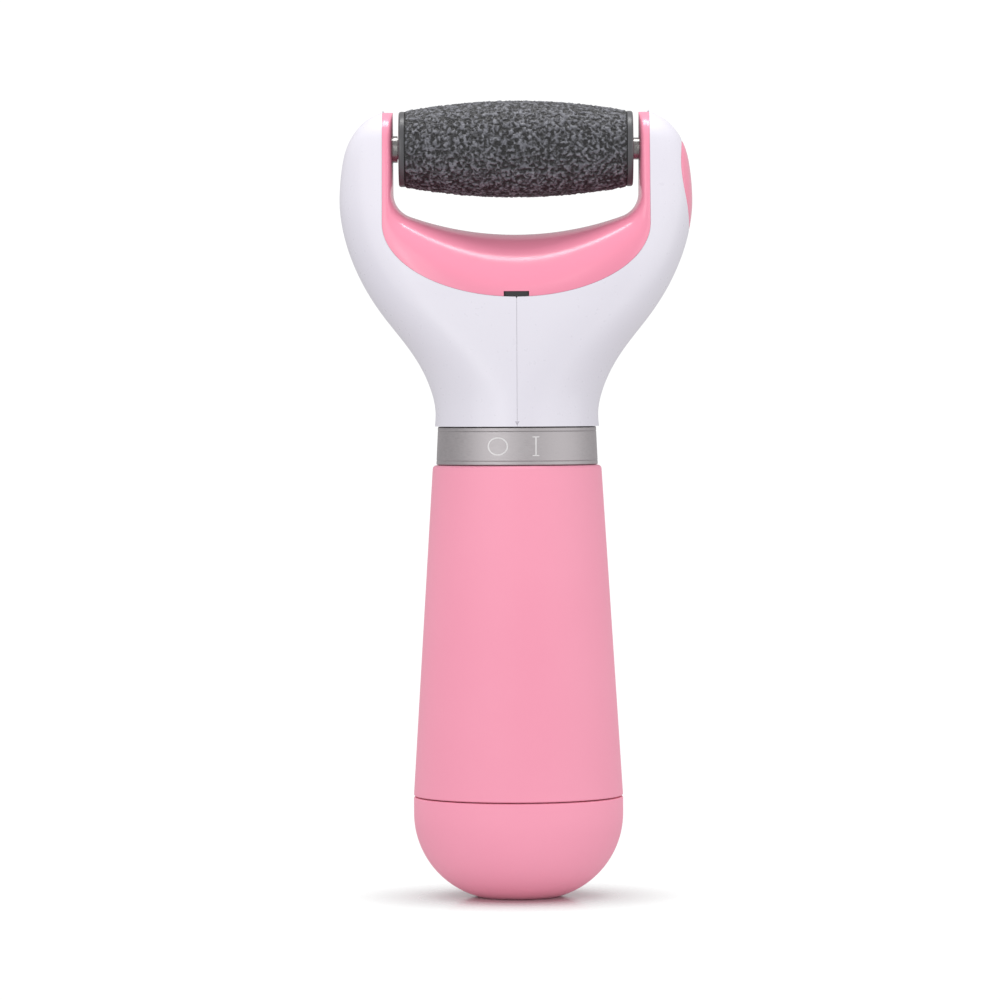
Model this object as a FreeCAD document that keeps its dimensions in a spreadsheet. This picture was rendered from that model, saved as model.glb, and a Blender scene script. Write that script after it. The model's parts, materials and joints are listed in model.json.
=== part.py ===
import FreeCAD, Part
import math
import os
import re

# Electric callus remover: a battery handle, a twist switch ring, and a forked head that
# carries a driven abrasive roller over a saddle-shaped cradle.
# Millimetres. +Z is up, the roller axis is along X, and the front faces -Y.
# The origin is the centre of the flat base under the battery cap.

Vector = FreeCAD.Vector

# ---------------------------------------------------------------- driving dimensions

SIZES = [
    # battery cap and handle
    ("cap_corner_radius", 20.0, "radius of the cap's rounded lower edge"),
    ("cap_corner_offset", 4.25, "distance of that arc's centre from the axis"),
    ("cap_corner_level", 19.4, "level of that arc's centre"),
    ("cap_top", 23.2, "seam between cap and handle"),
    ("cap_wall", 2.6, "wall of the cap"),
    ("seam_gap", 0.15, "visible gap between cap and handle"),
    ("spigot_bottom", 15.5, "lower end of the handle's spigot"),
    ("spigot_radius", 21.55, "outer radius of the spigot inside the cap"),
    ("handle_bore", 19.6, "bore of the handle round the battery holder"),
    ("handle_top", 100.0, "upper end of the handle"),
    ("handle_top_radius", 19.5, "outer radius at the upper end"),
    ("handle_edge", 0.8, "rounding of the handle's upper edge"),
    ("collar_level", 94.0, "underside of the handle's neck collar"),
    # batteries: four AA cells
    ("cell_radius", 7.25, "radius of a cell"),
    ("cell_length", 50.5, "length of a cell with its terminal"),
    ("cell_bottom", 23.6, "lower end of the cells"),
    ("cell_offset", 7.6, "distance of each cell axis from the two middle planes"),
    ("cell_room", 0.15, "radial room round a cell"),
    ("holder_radius", 18.8, "outer radius of the battery holder"),
    ("holder_bottom", 17.0, "lower end of the holder"),
    ("holder_top", 76.2, "upper end of the holder"),
    ("cap_plate_level", 14.5, "underside of the cap's contact plate"),
    ("cap_plate_thick", 1.6, "thickness of the cap's contact plate"),
    ("cap_plate_radius", 18.6, "radius of the cap's contact plate"),
    # neck and switch
    ("neck_radius", 16.3, "outer radius of the neck sleeve"),
    ("neck_bore", 14.8, "bore of the neck sleeve"),
    ("neck_top", 113.0, "upper end of the neck sleeve"),
    ("ring_bottom", 100.1, "lower face of the switch ring"),
    ("ring_top", 108.9, "upper face of the switch ring"),
    ("ring_low_radius", 18.7, "outer radius at the ring's lower face"),
    ("ring_high_radius", 18.3, "outer radius at the ring's upper face"),
    ("ring_bore", 16.38, "bore of the ring round the sleeve"),
    ("ring_edge", 0.3, "chamfer of the ring's outer edges"),
    ("lug_width", 2.0, "width of the ring's inner lug"),
    ("lug_reach", 12.4, "distance of the lug's tip from the axis"),
    ("lug_level", 103.6, "underside of the lug"),
    ("lug_height", 1.8, "height of the lug"),
    ("board_level", 97.4, "underside of the switch board"),
    ("board_thick", 1.6, "thickness of the switch board"),
    ("board_radius", 14.6, "radius of the switch board"),
    # head
    ("head_bottom", 109.0, "lower edge of the head"),
    ("head_wall", 1.6, "wall of the head shells"),
    ("neck_depth", 19.0, "half depth of the head at its lower edge"),
    ("crotch_depth", 17.54, "half depth of the head at the bottom of the cradle"),
    ("arm_tip_radius", 8.7, "radius of the arms' round tips about the roller axis"),
    ("arm_taper", 14.0, "taper of each arm face from the vertical, degrees"),
    # cradle liner
    ("fork_half", 30.8, "half width of the fork opening in the head"),
    ("fork_drop", 17.0, "depth of the round bottom of the fork opening"),
    ("fork_level", 155.7, "level where the straight sides of the opening begin"),
    ("liner_wall", 2.4, "thickness of the liner on the arms"),
    ("saddle_level", 153.3, "top of the saddle in the middle"),
    ("saddle_radius", 74.0, "radius of the saddle's ridge along X"),
    ("cavity_half_length", 25.0, "half length of the hollow under the saddle"),
    ("cavity_half_depth", 15.5, "half depth of the hollow"),
    ("cavity_height", 12.9, "height of the hollow above the fork's bottom"),
    # roller
    ("roller_level", 173.1, "height of the roller axis"),
    ("roller_radius", 11.25, "radius of the abrasive sleeve in the middle"),
    ("roller_end_radius", 8.9, "radius of the abrasive sleeve at its ends"),
    ("sleeve_half", 25.7, "half length of the abrasive sleeve"),
    ("roller_half", 27.05, "half length over the end caps"),
    ("sleeve_bore", 7.5, "bore of the abrasive sleeve"),
    ("core_wall", 2.0, "wall of the roller core"),
    ("cap_rim_radius", 8.7, "outer radius of the roller end caps"),
    ("dog_size", 4.0, "across flats of the hexagonal drive dog"),
    ("dog_reach", 23.6, "distance of the dog's end from the middle"),
    ("spindle_radius", 3.1, "radius of the drive spindle"),
    ("pin_radius", 2.55, "radius of the retaining pin"),
    ("pin_reach", 26.15, "distance of the pin's tip from the middle"),
    ("flange_face", 33.6, "outer face of the pin's flange, distance from the middle"),
    ("flange_radius", 3.6, "radius of the pin's flange"),
    # gear train
    ("gear_module", 0.5, "module of all gears"),
    ("gear_backlash", 0.09, "backlash of each pair at the pitch circle"),
    ("motor_level", 139.1, "height of the motor shaft"),
    ("layshaft_level", 146.1, "height of the layshaft"),
    ("lower_idler_level", 154.1, "height of the lower idler pin"),
    ("upper_idler_level", 163.85, "height of the upper idler pin"),
    ("gear_plane", 31.1, "inner face of the gears in the arm, distance from the middle"),
    ("gear_width", 2.3, "width of the gears in the arm"),
    ("first_plane", 15.4, "inner face of the first gear pair"),
    ("first_width", 2.4, "width of the first gear pair"),
    ("layshaft_radius", 1.25, "radius of the layshaft"),
    ("idler_pin_radius", 1.0, "radius of the idler pins"),
    ("shaft_room", 0.05, "radial room of every running fit"),
    ("plate_plane", 33.7, "inner face of the gear plate"),
    ("plate_thick", 1.0, "thickness of the gear plate"),
    # motor
    ("motor_radius", 10.05, "radius of the motor can"),
    ("motor_half_flat", 7.55, "half height over the motor's flats"),
    ("motor_left", -11.0, "left face of the motor can"),
    ("motor_right", 12.5, "right face of the motor can"),
    ("motor_shaft_radius", 1.0, "radius of the motor shaft"),
    # roller release
    ("button_level", 164.5, "height of the button's centre"),
    ("button_half_height", 10.6, "half height of the button"),
    ("button_half_width", 6.0, "half width of the button"),
    ("button_room", 0.2, "gap round the button"),
    ("button_post_level", 161.5, "height of the button's post"),
    ("lever_level", 167.0, "height of the lever pivot"),
    ("lever_plane", 32.6, "distance of the lever pivot from the middle"),
]
ALIASES = {alias for alias, _, _ in SIZES}

# Outline of the head seen from the front: level and half width.
HEAD_OUTLINE = [
    (109.0, 19.0),
    (112.0, 18.83),
    (117.4, 19.9),
    (123.0, 22.4),
    (128.5, 26.1),
    (134.1, 30.5),
    (140.6, 34.8),
    (145.2, 37.1),
    (149.9, 38.9),
    (154.5, 40.1),
    (159.1, 40.76),
    (163.7, 40.75),
    (168.4, 40.3),
    (173.0, 39.3),
    (177.6, 36.8),
    (180.1, 34.1),
    (181.4, 31.6),
]
HEAD_TOP = HEAD_OUTLINE[-1][0]

TEETH = {
    "motor_pinion": 10,
    "layshaft_wheel": 18,
    "layshaft_pinion": 12,
    "lower_idler_gear": 20,
    "upper_idler_gear": 19,
    "drive_gear": 18,
}

doc = FreeCAD.newDocument("callus_remover")
subparts = []


def make_sheet():
    """Put every driving dimension in the spreadsheet, one per row, with its alias."""
    table = doc.addObject("Spreadsheet::Sheet", "Sizes")
    for row, (alias, value, meaning) in enumerate(SIZES, start=1):
        table.set(f"A{row}", meaning)
        table.set(f"B{row}", str(value))
        table.setAlias(f"B{row}", alias)
    doc.recompute()
    return table


sheet = make_sheet()

# ---------------------------------------------------------------- small helpers


def formula(text):
    """Write a formula of sheet aliases the way an object's expression needs it."""
    def qualify(word):
        return f"Sizes.{word[0]}" if word[0] in ALIASES else word[0]
    return re.sub(r"[a-z][a-z_0-9]*", qualify, str(text))


def size(text):
    """The present value of a formula of sheet aliases."""
    return float(sheet.evalExpression(str(text)))


def bind(thing, **properties):
    """Bind properties of an object to formulas of the sheet."""
    for name, text in properties.items():
        thing.setExpression(name, formula(text))


def place(thing, at, along="Z"):
    """Turn an object's own Z axis to the named axis and bind its position."""
    turns = {
        "Z": FreeCAD.Rotation(),
        "X": FreeCAD.Rotation(Vector(0, 1, 0), 90),
        "Y": FreeCAD.Rotation(Vector(1, 0, 0), -90),
    }
    thing.Placement = FreeCAD.Placement(Vector(*[size(text) for text in at]), turns[along])
    for axis, text in zip("xyz", at):
        if not isinstance(text, (int, float)):
            thing.setExpression(f".Placement.Base.{axis}", formula(text))


def cylinder(name, radius, length, at=(0, 0, 0), along="Z"):
    rod = doc.addObject("Part::Cylinder", name)
    bind(rod, Radius=radius, Height=length)
    place(rod, at, along)
    return rod


def block(name, xs, ys, zs):
    """A box between two levels along each axis."""
    brick = doc.addObject("Part::Box", name)
    bind(brick, Length=f"({xs[1]})-({xs[0]})", Width=f"({ys[1]})-({ys[0]})", Height=f"({zs[1]})-({zs[0]})")
    place(brick, (xs[0], ys[0], zs[0]))
    return brick


def join(name, *pieces):
    union = doc.addObject("Part::MultiFuse", name)
    union.Shapes = list(pieces)
    return union


def cut(name, base, *tools):
    tool = tools[0] if len(tools) == 1 else join(f"{name}_tools", *tools)
    left = doc.addObject("Part::Cut", name)
    left.Base = base
    left.Tool = tool
    return left


def common(name, first, second):
    shared = doc.addObject("Part::Common", name)
    shared.Base = first
    shared.Tool = second
    return shared


def group(name, *pieces):
    """Identical pieces that stay separate solids."""
    several = doc.addObject("Part::Compound", name)
    several.Links = list(pieces)
    return several


def shaped(name, shape, at=(0, 0, 0), along="Z"):
    """An object whose shape is worked out in code from the sheet's sizes."""
    feature = doc.addObject("Part::Feature", name)
    feature.Shape = shape
    place(feature, at, along)
    return feature


def subpart(label, thing):
    """Name a finished sub-part: the label is its file's name."""
    thing.Label = label
    subparts.append(thing)
    return thing


def origin_plane(body, role):
    return next(part for part in body.Origin.OriginFeatures if part.Role == role)


def outline_sketch(body, name, plane, corners):
    """Draw a closed outline through corners whose places are formulas.

    A corner is (across, up), or (across, up, radius) where an arc of that radius leads to it
    from the corner before. A positive radius bulges to the right of the way round, a
    negative one to the left.
    """
    from Sketcher import Constraint
    sketch = body.newObject("Sketcher::SketchObject", name)
    sketch.AttachmentSupport = [(origin_plane(body, plane), "")]
    sketch.MapMode = "FlatFace"
    points = [Vector(size(corner[0]), size(corner[1]), 0) for corner in corners]
    ends = []
    for index, corner in enumerate(corners):
        start = points[index - 1]
        end = points[index]
        if len(corner) == 2:
            edge = sketch.addGeometry(Part.LineSegment(start, end))
            ends.append((edge, 1, 2))
            continue
        radius = size(corner[2])
        chord = end - start
        rise = math.sqrt(max(radius ** 2 - (chord.Length / 2) ** 2, 0))
        left = Vector(-chord.y, chord.x, 0) / chord.Length
        side = 1 if radius > 0 else -1
        centre = (start + end) / 2 + left * rise * side
        first, last = (start, end) if side > 0 else (end, start)
        angles = [math.atan2(point.y - centre.y, point.x - centre.x) for point in (first, last)]
        circle = Part.Circle(centre, Vector(0, 0, 1), abs(radius))
        edge = sketch.addGeometry(Part.ArcOfCircle(circle, angles[0], angles[1]))
        ends.append((edge, 1, 2) if side > 0 else (edge, 2, 1))
        bound = sketch.addConstraint(Constraint("Radius", edge, abs(radius)))
        sketch.renameConstraint(bound, f"radius_{index}")
        sketch.setExpression(f"Constraints.radius_{index}", f"abs({formula(corner[2])})")
    for index, corner in enumerate(corners):
        edge, _, finish = ends[index]
        following, begin, _ = ends[(index + 1) % len(ends)]
        sketch.addConstraint(Constraint("Coincident", edge, finish, following, begin))
        for kind, text, value in (("DistanceX", corner[0], points[index].x),
                                  ("DistanceY", corner[1], points[index].y)):
            bound = sketch.addConstraint(Constraint(kind, edge, finish, value))
            if not isinstance(text, (int, float)):
                sketch.renameConstraint(bound, f"{kind}_{index}")
                sketch.setExpression(f"Constraints.{kind}_{index}", formula(text))
    return sketch


def turned(name, corners, about="V_Axis", at=(0, 0, 0)):
    """Turn an outline in the XZ plane about the vertical or the horizontal axis."""
    body = doc.addObject("PartDesign::Body", name)
    sketch = outline_sketch(body, f"{name}_outline", "XZ_Plane", corners)
    doc.recompute()
    spin = body.newObject("PartDesign::Revolution", f"{name}_turned")
    spin.Profile = sketch
    spin.ReferenceAxis = (sketch, [about])
    spin.Angle = 360
    body.Tip = spin
    place(body, at)
    return body


def padded(name, corners, plane, low, high, at=(0, 0, 0)):
    """Pad an outline on an origin plane from one distance to another."""
    body = doc.addObject("PartDesign::Body", name)
    sketch = outline_sketch(body, f"{name}_outline", plane, corners)
    doc.recompute()
    pad = body.newObject("PartDesign::Pad", f"{name}_pad")
    pad.Profile = sketch
    pad.Type = "Length"
    bind(pad, Length=f"({high})-({low})")
    body.Tip = pad
    place(body, at)
    return body


# ---------------------------------------------------------------- battery cap and handle


def cap_inner_foot():
    """Radius where the cap's inner arc meets its floor."""
    return "cap_corner_offset + sqrt((cap_corner_radius-cap_wall)^2 - (cap_corner_level-cap_wall)^2)"


def make_bottom_cap():
    """The cap: a rounded cup with a centre post that carries its contact plate."""
    foot = "cap_corner_offset + sqrt(cap_corner_radius^2 - cap_corner_level^2)"
    shell = turned("cap_shell", [
        (0, 0),
        (foot, 0),
        ("cap_corner_offset + cap_corner_radius", "cap_corner_level", "cap_corner_radius"),
        ("cap_corner_offset + cap_corner_radius", "cap_top - 0.2"),
        ("cap_corner_offset + cap_corner_radius - 0.2", "cap_top"),
        ("cap_corner_offset + cap_corner_radius - cap_wall", "cap_top"),
        ("cap_corner_offset + cap_corner_radius - cap_wall", "cap_corner_level"),
        (cap_inner_foot(), "cap_wall", "-(cap_corner_radius - cap_wall)"),
        (4.0, "cap_wall"),
        (4.0, "cap_plate_level"),
        (0, "cap_plate_level"),
    ])
    subpart("bottom_cap", shell)


def make_cap_contacts():
    """The contact plate on the cap's post, its screw, its two bridges and its four leaf springs."""
    plate = cylinder("cap_plate_disc", "cap_plate_radius", "cap_plate_thick", (0, 0, "cap_plate_level"))
    recess = cylinder("cap_plate_recess", 3.0, 0.6, (0, 0, "cap_plate_level + cap_plate_thick - 0.6"))
    screw_hole = cylinder("cap_plate_hole", 1.2, "cap_plate_thick", (0, 0, "cap_plate_level"))
    subpart("cap_contact_plate", cut("cap_plate", plate, recess, screw_hole))
    head = cylinder("cap_screw_head", 2.6, 0.55, (0, 0, "cap_plate_level + cap_plate_thick - 0.6"))
    shank = cylinder("cap_screw_shank", 1.15, "cap_plate_thick - 0.6", (0, 0, "cap_plate_level"))
    subpart("cap_plate_screw", join("cap_screw", head, shank))
    top = "cap_plate_level + cap_plate_thick"
    bridges = []
    springs = []
    for index, side in enumerate((-1, 1)):
        bridges.append(block(
            f"cap_bridge_{index}",
            ("-cell_offset - 4", "cell_offset + 4"),
            (f"{side}*cell_offset - 4", f"{side}*cell_offset + 4"),
            (top, f"{top} + 0.3"),
        ))
    rise = size(f"cell_bottom - 0.1 - ({top} + 0.3)")
    offset = size("cell_offset")
    for index, (right, back) in enumerate([(-1, -1), (1, -1), (-1, 1), (1, 1)]):
        at = (right * offset, back * offset, f"{top} + 0.3")
        springs.append(shaped(f"cell_spring_{index}", leaf_spring(10, rise, 0.3, 5), at))
    subpart("cap_bridges", group("cap_bridge_pair", *bridges))
    subpart("cell_springs", group("cell_spring_set", *springs))


def leaf_spring(span, rise, thick, width):
    """An arched strip of sheet metal that stands on its two ends, spanning along X."""
    outer = (span * span / 4 + rise * rise) / (2 * rise)
    inner = outer - thick
    foot = math.sqrt(inner ** 2 - (outer - rise) ** 2)
    over = Part.Arc(Vector(-span / 2, 0, 0), Vector(0, 0, rise), Vector(span / 2, 0, 0)).toShape()
    under = Part.Arc(Vector(foot, 0, 0), Vector(0, 0, rise - thick), Vector(-foot, 0, 0)).toShape()
    right_foot = Part.makeLine(Vector(span / 2, 0, 0), Vector(foot, 0, 0))
    left_foot = Part.makeLine(Vector(-foot, 0, 0), Vector(-span / 2, 0, 0))
    strip = Part.Face(Part.Wire([over, right_foot, under, left_foot]))
    strip.translate(Vector(0, -width / 2, 0))
    return strip.extrude(Vector(0, width, 0))


def coil_spring(rise, radius, wire, turns):
    """A straight coil, as one swept round wire."""
    helix = Part.makeHelix(rise / turns, rise, radius)
    section = Part.Wire(Part.makeCircle(wire, Vector(radius, 0, 0), Vector(0, 1, 0)))
    return Part.Wire(helix.Edges).makePipeShell([section], True, True)


def make_handle_shell():
    """The tapered grip, with the cap's spigot below and the neck collar above."""
    skirt = "cap_corner_offset + cap_corner_radius"
    seam = "cap_top + seam_gap"
    slope = f"(({skirt}) - handle_top_radius)/(handle_top - cap_top)"
    rim = f"handle_top_radius + handle_edge*{slope}"
    shell = turned("handle_turned", [
        ("handle_bore", "spigot_bottom"),
        ("spigot_radius - 0.85", "spigot_bottom"),
        ("spigot_radius", 18.2),
        ("spigot_radius", 18.5),
        ("spigot_radius - 0.9", 18.5),
        ("spigot_radius - 0.9", 19.6),
        ("spigot_radius", 19.6),
        ("spigot_radius", seam),
        (f"{skirt} - 0.2", seam),
        (skirt, f"{seam} + 0.2"),
        (rim, "handle_top - handle_edge"),
        (f"{rim} - handle_edge", "handle_top", "handle_edge"),
        ("neck_radius + shaft_room", "handle_top"),
        ("neck_radius + shaft_room", "collar_level"),
        (17.9, "collar_level"),
        (17.9, 92.5),
        ("handle_bore", 66.0),
    ])
    subpart("handle_shell", shell)
    seal = doc.addObject("Part::Torus", "cap_seal_ring")
    bind(seal, Radius1="spigot_radius - 0.4", Radius2=0.45)
    place(seal, (0, 0, 19.05))
    subpart("cap_seal", seal)


def make_batteries():
    """Four upright cells in a holder with a bore for each."""
    drum = cylinder("holder_drum", "holder_radius", "holder_top - holder_bottom", (0, 0, "holder_bottom"))
    bores = []
    contacts = []
    cell_top = "cell_bottom + cell_length"
    places = [(-1, -1), (1, -1), (-1, 1), (1, 1)]
    for index, (right, back) in enumerate(places, start=1):
        across = f"{right}*cell_offset"
        along = f"{back}*cell_offset"
        bores.append(cylinder(
            f"holder_bore_{index}", "cell_radius + cell_room", f"{cell_top} + 0.5 - holder_bottom",
            (across, along, "holder_bottom")))
        can = cylinder(f"cell_can_{index}", "cell_radius", "cell_length - 1.2", (across, along, "cell_bottom"))
        nub = cylinder(f"cell_nub_{index}", 2.7, 1.3, (across, along, f"{cell_top} - 1.3"))
        subpart(f"battery_{index}", join(f"cell_{index}", can, nub))
        contacts.append(cylinder(f"cell_contact_{index}", 4.0, 0.45, (across, along, cell_top)))
    bores.append(cylinder("holder_middle", 2.0, "holder_top - holder_bottom", (0, 0, "holder_bottom")))
    subpart("battery_holder", cut("holder", drum, *bores))
    subpart("top_contacts", group("cell_contact_set", *contacts))


# ---------------------------------------------------------------- neck and switch


def make_neck():
    """The sleeve that joins handle and head and carries the switch ring."""
    tube = turned("neck_tube", [
        ("neck_bore", 89.5),
        (17.7, 89.5),
        (17.7, "collar_level - 0.05"),
        ("neck_radius", "collar_level - 0.05"),
        ("neck_radius", "neck_top"),
        ("neck_bore", "neck_top"),
        ("neck_bore", "board_level + board_thick"),
        ("board_radius + 0.05", "board_level + board_thick"),
        ("board_radius + 0.05", "board_level"),
        (13.6, "board_level"),
        (13.6, "board_level - 1.5"),
        ("neck_bore", "board_level - 3"),
    ])
    window = block("lug_window", (-5.6, 5.6), (10, 17), ("lug_level - 0.5", "lug_level + lug_height + 0.5"))
    subpart("neck_sleeve", cut("neck_with_window", tube, window))
    collar = turned("ring_collar", [
        ("ring_bore", "ring_bottom"),
        ("ring_low_radius - ring_edge", "ring_bottom"),
        ("ring_low_radius", "ring_bottom + ring_edge"),
        ("ring_high_radius", "ring_top - ring_edge"),
        ("ring_high_radius - ring_edge", "ring_top"),
        ("ring_bore", "ring_top"),
    ])
    lug = block("ring_lug", ("-lug_width/2", "lug_width/2"), ("lug_reach", "ring_bore + 0.8"),
                ("lug_level", "lug_level + lug_height"))
    subpart("switch_ring", join("ring_with_lug", collar, lug))


def make_switch():
    """The board, the slide switch on it, and the slider that the ring's lug carries along."""
    board_top = "board_level + board_thick"
    disc = cylinder("board_disc", "board_radius", "board_thick", (0, 0, "board_level"))
    passage = cylinder("board_passage", 3.0, "board_thick", (0, -8, "board_level"))
    subpart("switch_board", cut("board", disc, passage))
    case = block("case_block", (-6.2, 6.2), (8.9, 12.8), (board_top, "board_level + board_thick + 3.0"))
    slot = block("case_slot", (-4.8, 4.8), (10.0, 11.7), ("board_level + board_thick + 1.2", 110))
    subpart("slide_switch_case", cut("case", case, slot))
    carriage = block("slider_carriage", (-1.6, 1.6), (10.1, 11.6),
                     ("board_level + board_thick + 1.3", "board_level + board_thick + 3.6"))
    bridge = block("slider_bridge", (-2.4, 2.4), (10.1, 13.2),
                   ("board_level + board_thick + 3.2", "lug_level - 0.2"))
    prongs = []
    for name, low, high in (("left", -2.4, -1.35), ("right", 1.35, 2.4)):
        prongs.append(block(f"slider_prong_{name}", (low, high), (12.2, 13.2),
                            ("board_level + board_thick + 3.2", "lug_level + lug_height")))
    subpart("slide_switch_slider", join("slider", carriage, bridge, *prongs))


# ---------------------------------------------------------------- head shape


def arm_depth(level):
    """Half depth of the head at a level: neck, straight taper, then a round tip."""
    tip = size("arm_tip_radius")
    axis = size("roller_level")
    taper = math.radians(size("arm_taper"))
    crotch = size("fork_level - fork_drop")
    tangent = axis + tip * math.sin(taper)
    if level >= tangent:
        return math.sqrt(max(tip ** 2 - (level - axis) ** 2, 0.04))
    if level >= crotch:
        return tip / math.cos(taper) + (axis - level) * math.tan(taper)
    share = (crotch - level) / (crotch - size("head_bottom"))
    return size("crotch_depth") + (size("neck_depth") - size("crotch_depth")) * share


def squareness(level):
    """Exponent of the head's plan: a circle at the neck, nearly flat faces on the arms."""
    share = min(max((level - 113.0) / (150.0 - 113.0), 0.0), 1.0)
    return 2.0 + 5.0 * share * share * (3 - 2 * share)


def head_half_width(level):
    """Half width of the head between the levels of its outline."""
    curve = Part.BSplineCurve()
    curve.interpolate([Vector(width, 0, height) for height, width in HEAD_OUTLINE])
    flat = Part.Plane(Vector(0, 0, level), Vector(0, 0, 1))
    return curve.intersect(flat)[0][0].X


def depth_at(across, level):
    """Half depth of the head's surface at a place seen from the front."""
    share = min(abs(across) / head_half_width(level), 1.0)
    return arm_depth(level) * math.sqrt(1 - share ** squareness(level))


def plan_wire(level, inset):
    """The head's plan at a level, set in by a wall."""
    half_width = head_half_width(level) - inset
    half_depth = max(arm_depth(level) - inset, 0.3)
    power = squareness(level)
    count = 24
    points = []
    for step in range(count):
        angle = 2 * math.pi * step / count
        across = math.cos(angle)
        along = math.copysign(math.sqrt(max(1 - abs(across) ** power, 0.0)), math.sin(angle))
        points.append(Vector(half_width * across, half_depth * along, level))
    curve = Part.BSplineCurve()
    curve.interpolate(points, PeriodicFlag=True, Parameters=[float(step) for step in range(count + 1)])
    return Part.Wire(curve.toShape())


def head_solid(inset, low, high):
    """The head's envelope between two levels, set in by a wall."""
    inner = [level for level, _ in HEAD_OUTLINE if low + 0.5 < level < high - 0.5]
    return Part.makeLoft([plan_wire(level, inset) for level in [low, *inner, high]], True, False)


def fork_wire(depth, room):
    """The fork opening's outline at a distance in Y, enlarged by a gap."""
    half = size("fork_half") + room
    drop = size("fork_drop") + room
    level = size("fork_level")
    top = 190.0
    bowl = Part.Ellipse(Vector(0, depth, level), half, drop)
    bowl.Axis = Vector(0, -1, 0)
    bowl.XAxis = Vector(1, 0, 0)
    left = Vector(-half, depth, level)
    right = Vector(half, depth, level)
    bottom = Part.ArcOfEllipse(bowl, math.pi, 2 * math.pi).toShape()
    sides = [
        Part.makeLine(right, Vector(half, depth, top)),
        Part.makeLine(Vector(half, depth, top), Vector(-half, depth, top)),
        Part.makeLine(Vector(-half, depth, top), left),
    ]
    return Part.Wire(Part.__sortEdges__([bottom, *sides]))


def make_head_shells():
    """The two hollow halves of the head, with the fork cut out and a window for the button."""
    hollow = head_solid(size("head_wall"), size("head_bottom") + 2.0, HEAD_TOP - 1.5)
    fork = Part.Face(fork_wire(-40, 0.05)).extrude(Vector(0, 80, 0))
    neck = Part.makeCylinder(size("neck_radius + shaft_room"), 6, Vector(0, 0, size("head_bottom") - 1))
    shell = head_solid(0.0, size("head_bottom"), HEAD_TOP).cut([hollow, fork, neck])
    window = button_prism(size("button_room"), 30, 45)
    for name, low in (("head_shell_left", -60), ("head_shell_right", 0)):
        half = shell.common(Part.makeBox(60, 80, 100, Vector(low, -40, 100)))
        if name == "head_shell_right":
            half = half.cut(window)
        subpart(name, shaped(name, half))


def button_prism(room, inner, outer):
    """An upright oval prism along X for the release button and its window."""
    oval = Part.Ellipse(Vector(inner, 0, size("button_level")),
                        size("button_half_height") + room, size("button_half_width") + room)
    oval.Axis = Vector(1, 0, 0)
    oval.XAxis = Vector(0, 0, 1)
    return Part.Face(Part.Wire(oval.toShape())).extrude(Vector(outer - inner, 0, 0))


# ---------------------------------------------------------------- cradle liner


def saddle_ridge(share):
    """A point of the ridge, from the middle (0) past the corner to the arm (1)."""
    inner = size("fork_half - liner_wall")
    corner = 4.0
    radius = size("saddle_radius")
    edge = inner - corner
    low = size("saddle_level") + radius - math.sqrt(radius ** 2 - edge ** 2)
    if share <= 0.8:
        across = edge * share / 0.8
        return across, size("saddle_level") + radius - math.sqrt(radius ** 2 - across ** 2)
    turn = (share - 0.8) / 0.2 * math.pi / 2
    return edge + corner * math.sin(turn), low + corner * (1 - math.cos(turn))


def liner_section(outer, inner, power):
    """A closed section of the liner: a bulging front-to-back curve and its straight back."""
    depth = max(depth_at(outer[0], outer[1]), 0.25) - 0.1
    count = 12
    points = []
    for step in range(count + 1):
        swing = math.sin(math.pi * (step / count - 0.5))
        rise = max(1 - abs(swing) ** power, 0.0) ** (1 / power)
        points.append(Vector(outer[0] + (inner[0] - outer[0]) * rise, depth * swing,
                             outer[1] + (inner[1] - outer[1]) * rise))
    curve = Part.BSplineCurve()
    curve.interpolate(points, Parameters=[float(step) for step in range(count + 1)])
    return Part.Wire([curve.toShape(), Part.makeLine(points[-1], points[0])])


def liner_stations():
    """Outer point, ridge point and exponent of each section of the right half."""
    half = size("fork_half")
    level = size("fork_level")
    stations = []
    for share in (0.0, 0.2, 0.4, 0.6, 0.8, 1.0):
        angle = share * math.pi / 2
        outer = (half * math.sin(angle), level - size("fork_drop") * math.cos(angle))
        stations.append((outer, saddle_ridge(share), 2.2 + 1.3 * share))
    for height in (160.8, 166.0, 171.0, 175.5, 178.8, 180.8):
        stations.append(((half, height), (half - size("liner_wall"), height), 3.5))
    return stations


def make_cradle_liner():
    """The one-piece saddle and arm lining, hollow under the saddle for the motor."""
    right = liner_stations()
    left = [((-outer[0], outer[1]), (-inner[0], inner[1]), power) for outer, inner, power in right[:0:-1]]
    solid = Part.makeLoft([liner_section(*station) for station in left + right], True, False)
    bottom = size("fork_level - fork_drop")
    long_half = size("cavity_half_length")
    dome = Part.Ellipse(Vector(-long_half, 0, bottom), size("cavity_half_depth"), size("cavity_height"))
    dome.Axis = Vector(1, 0, 0)
    dome.XAxis = Vector(0, 1, 0)
    cavity = Part.Face(Part.Wire(dome.toShape())).extrude(Vector(2 * long_half, 0, 0))
    shaft_way = Part.makeCylinder(2.0, 9, Vector(-32, 0, size("layshaft_level")), Vector(1, 0, 0))
    spindle_hole = Part.makeCylinder(4.0, 6, Vector(-33, 0, size("roller_level")), Vector(1, 0, 0))
    pin_hole = Part.makeCylinder(size("pin_radius + 0.9"), 6, Vector(27, 0, size("roller_level")), Vector(1, 0, 0))
    catch = Part.makeBox(5.8, 3.2, 2.2, Vector(-2.95, -18.5, bottom - 0.2))
    fork = Part.Face(fork_wire(-40, 0.0)).extrude(Vector(0, 80, 0))
    solid = solid.common(fork).cut([cavity, shaft_way, spindle_hole, pin_hole, catch])
    subpart("cradle_liner", shaped("cradle_liner", solid))
    hook = Part.makeBox(5.4, 1.0, 1.6, Vector(-2.75, -16.3, bottom + 0.2))
    subpart("liner_catch", shaped("liner_catch", hook))


# ---------------------------------------------------------------- roller


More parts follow.
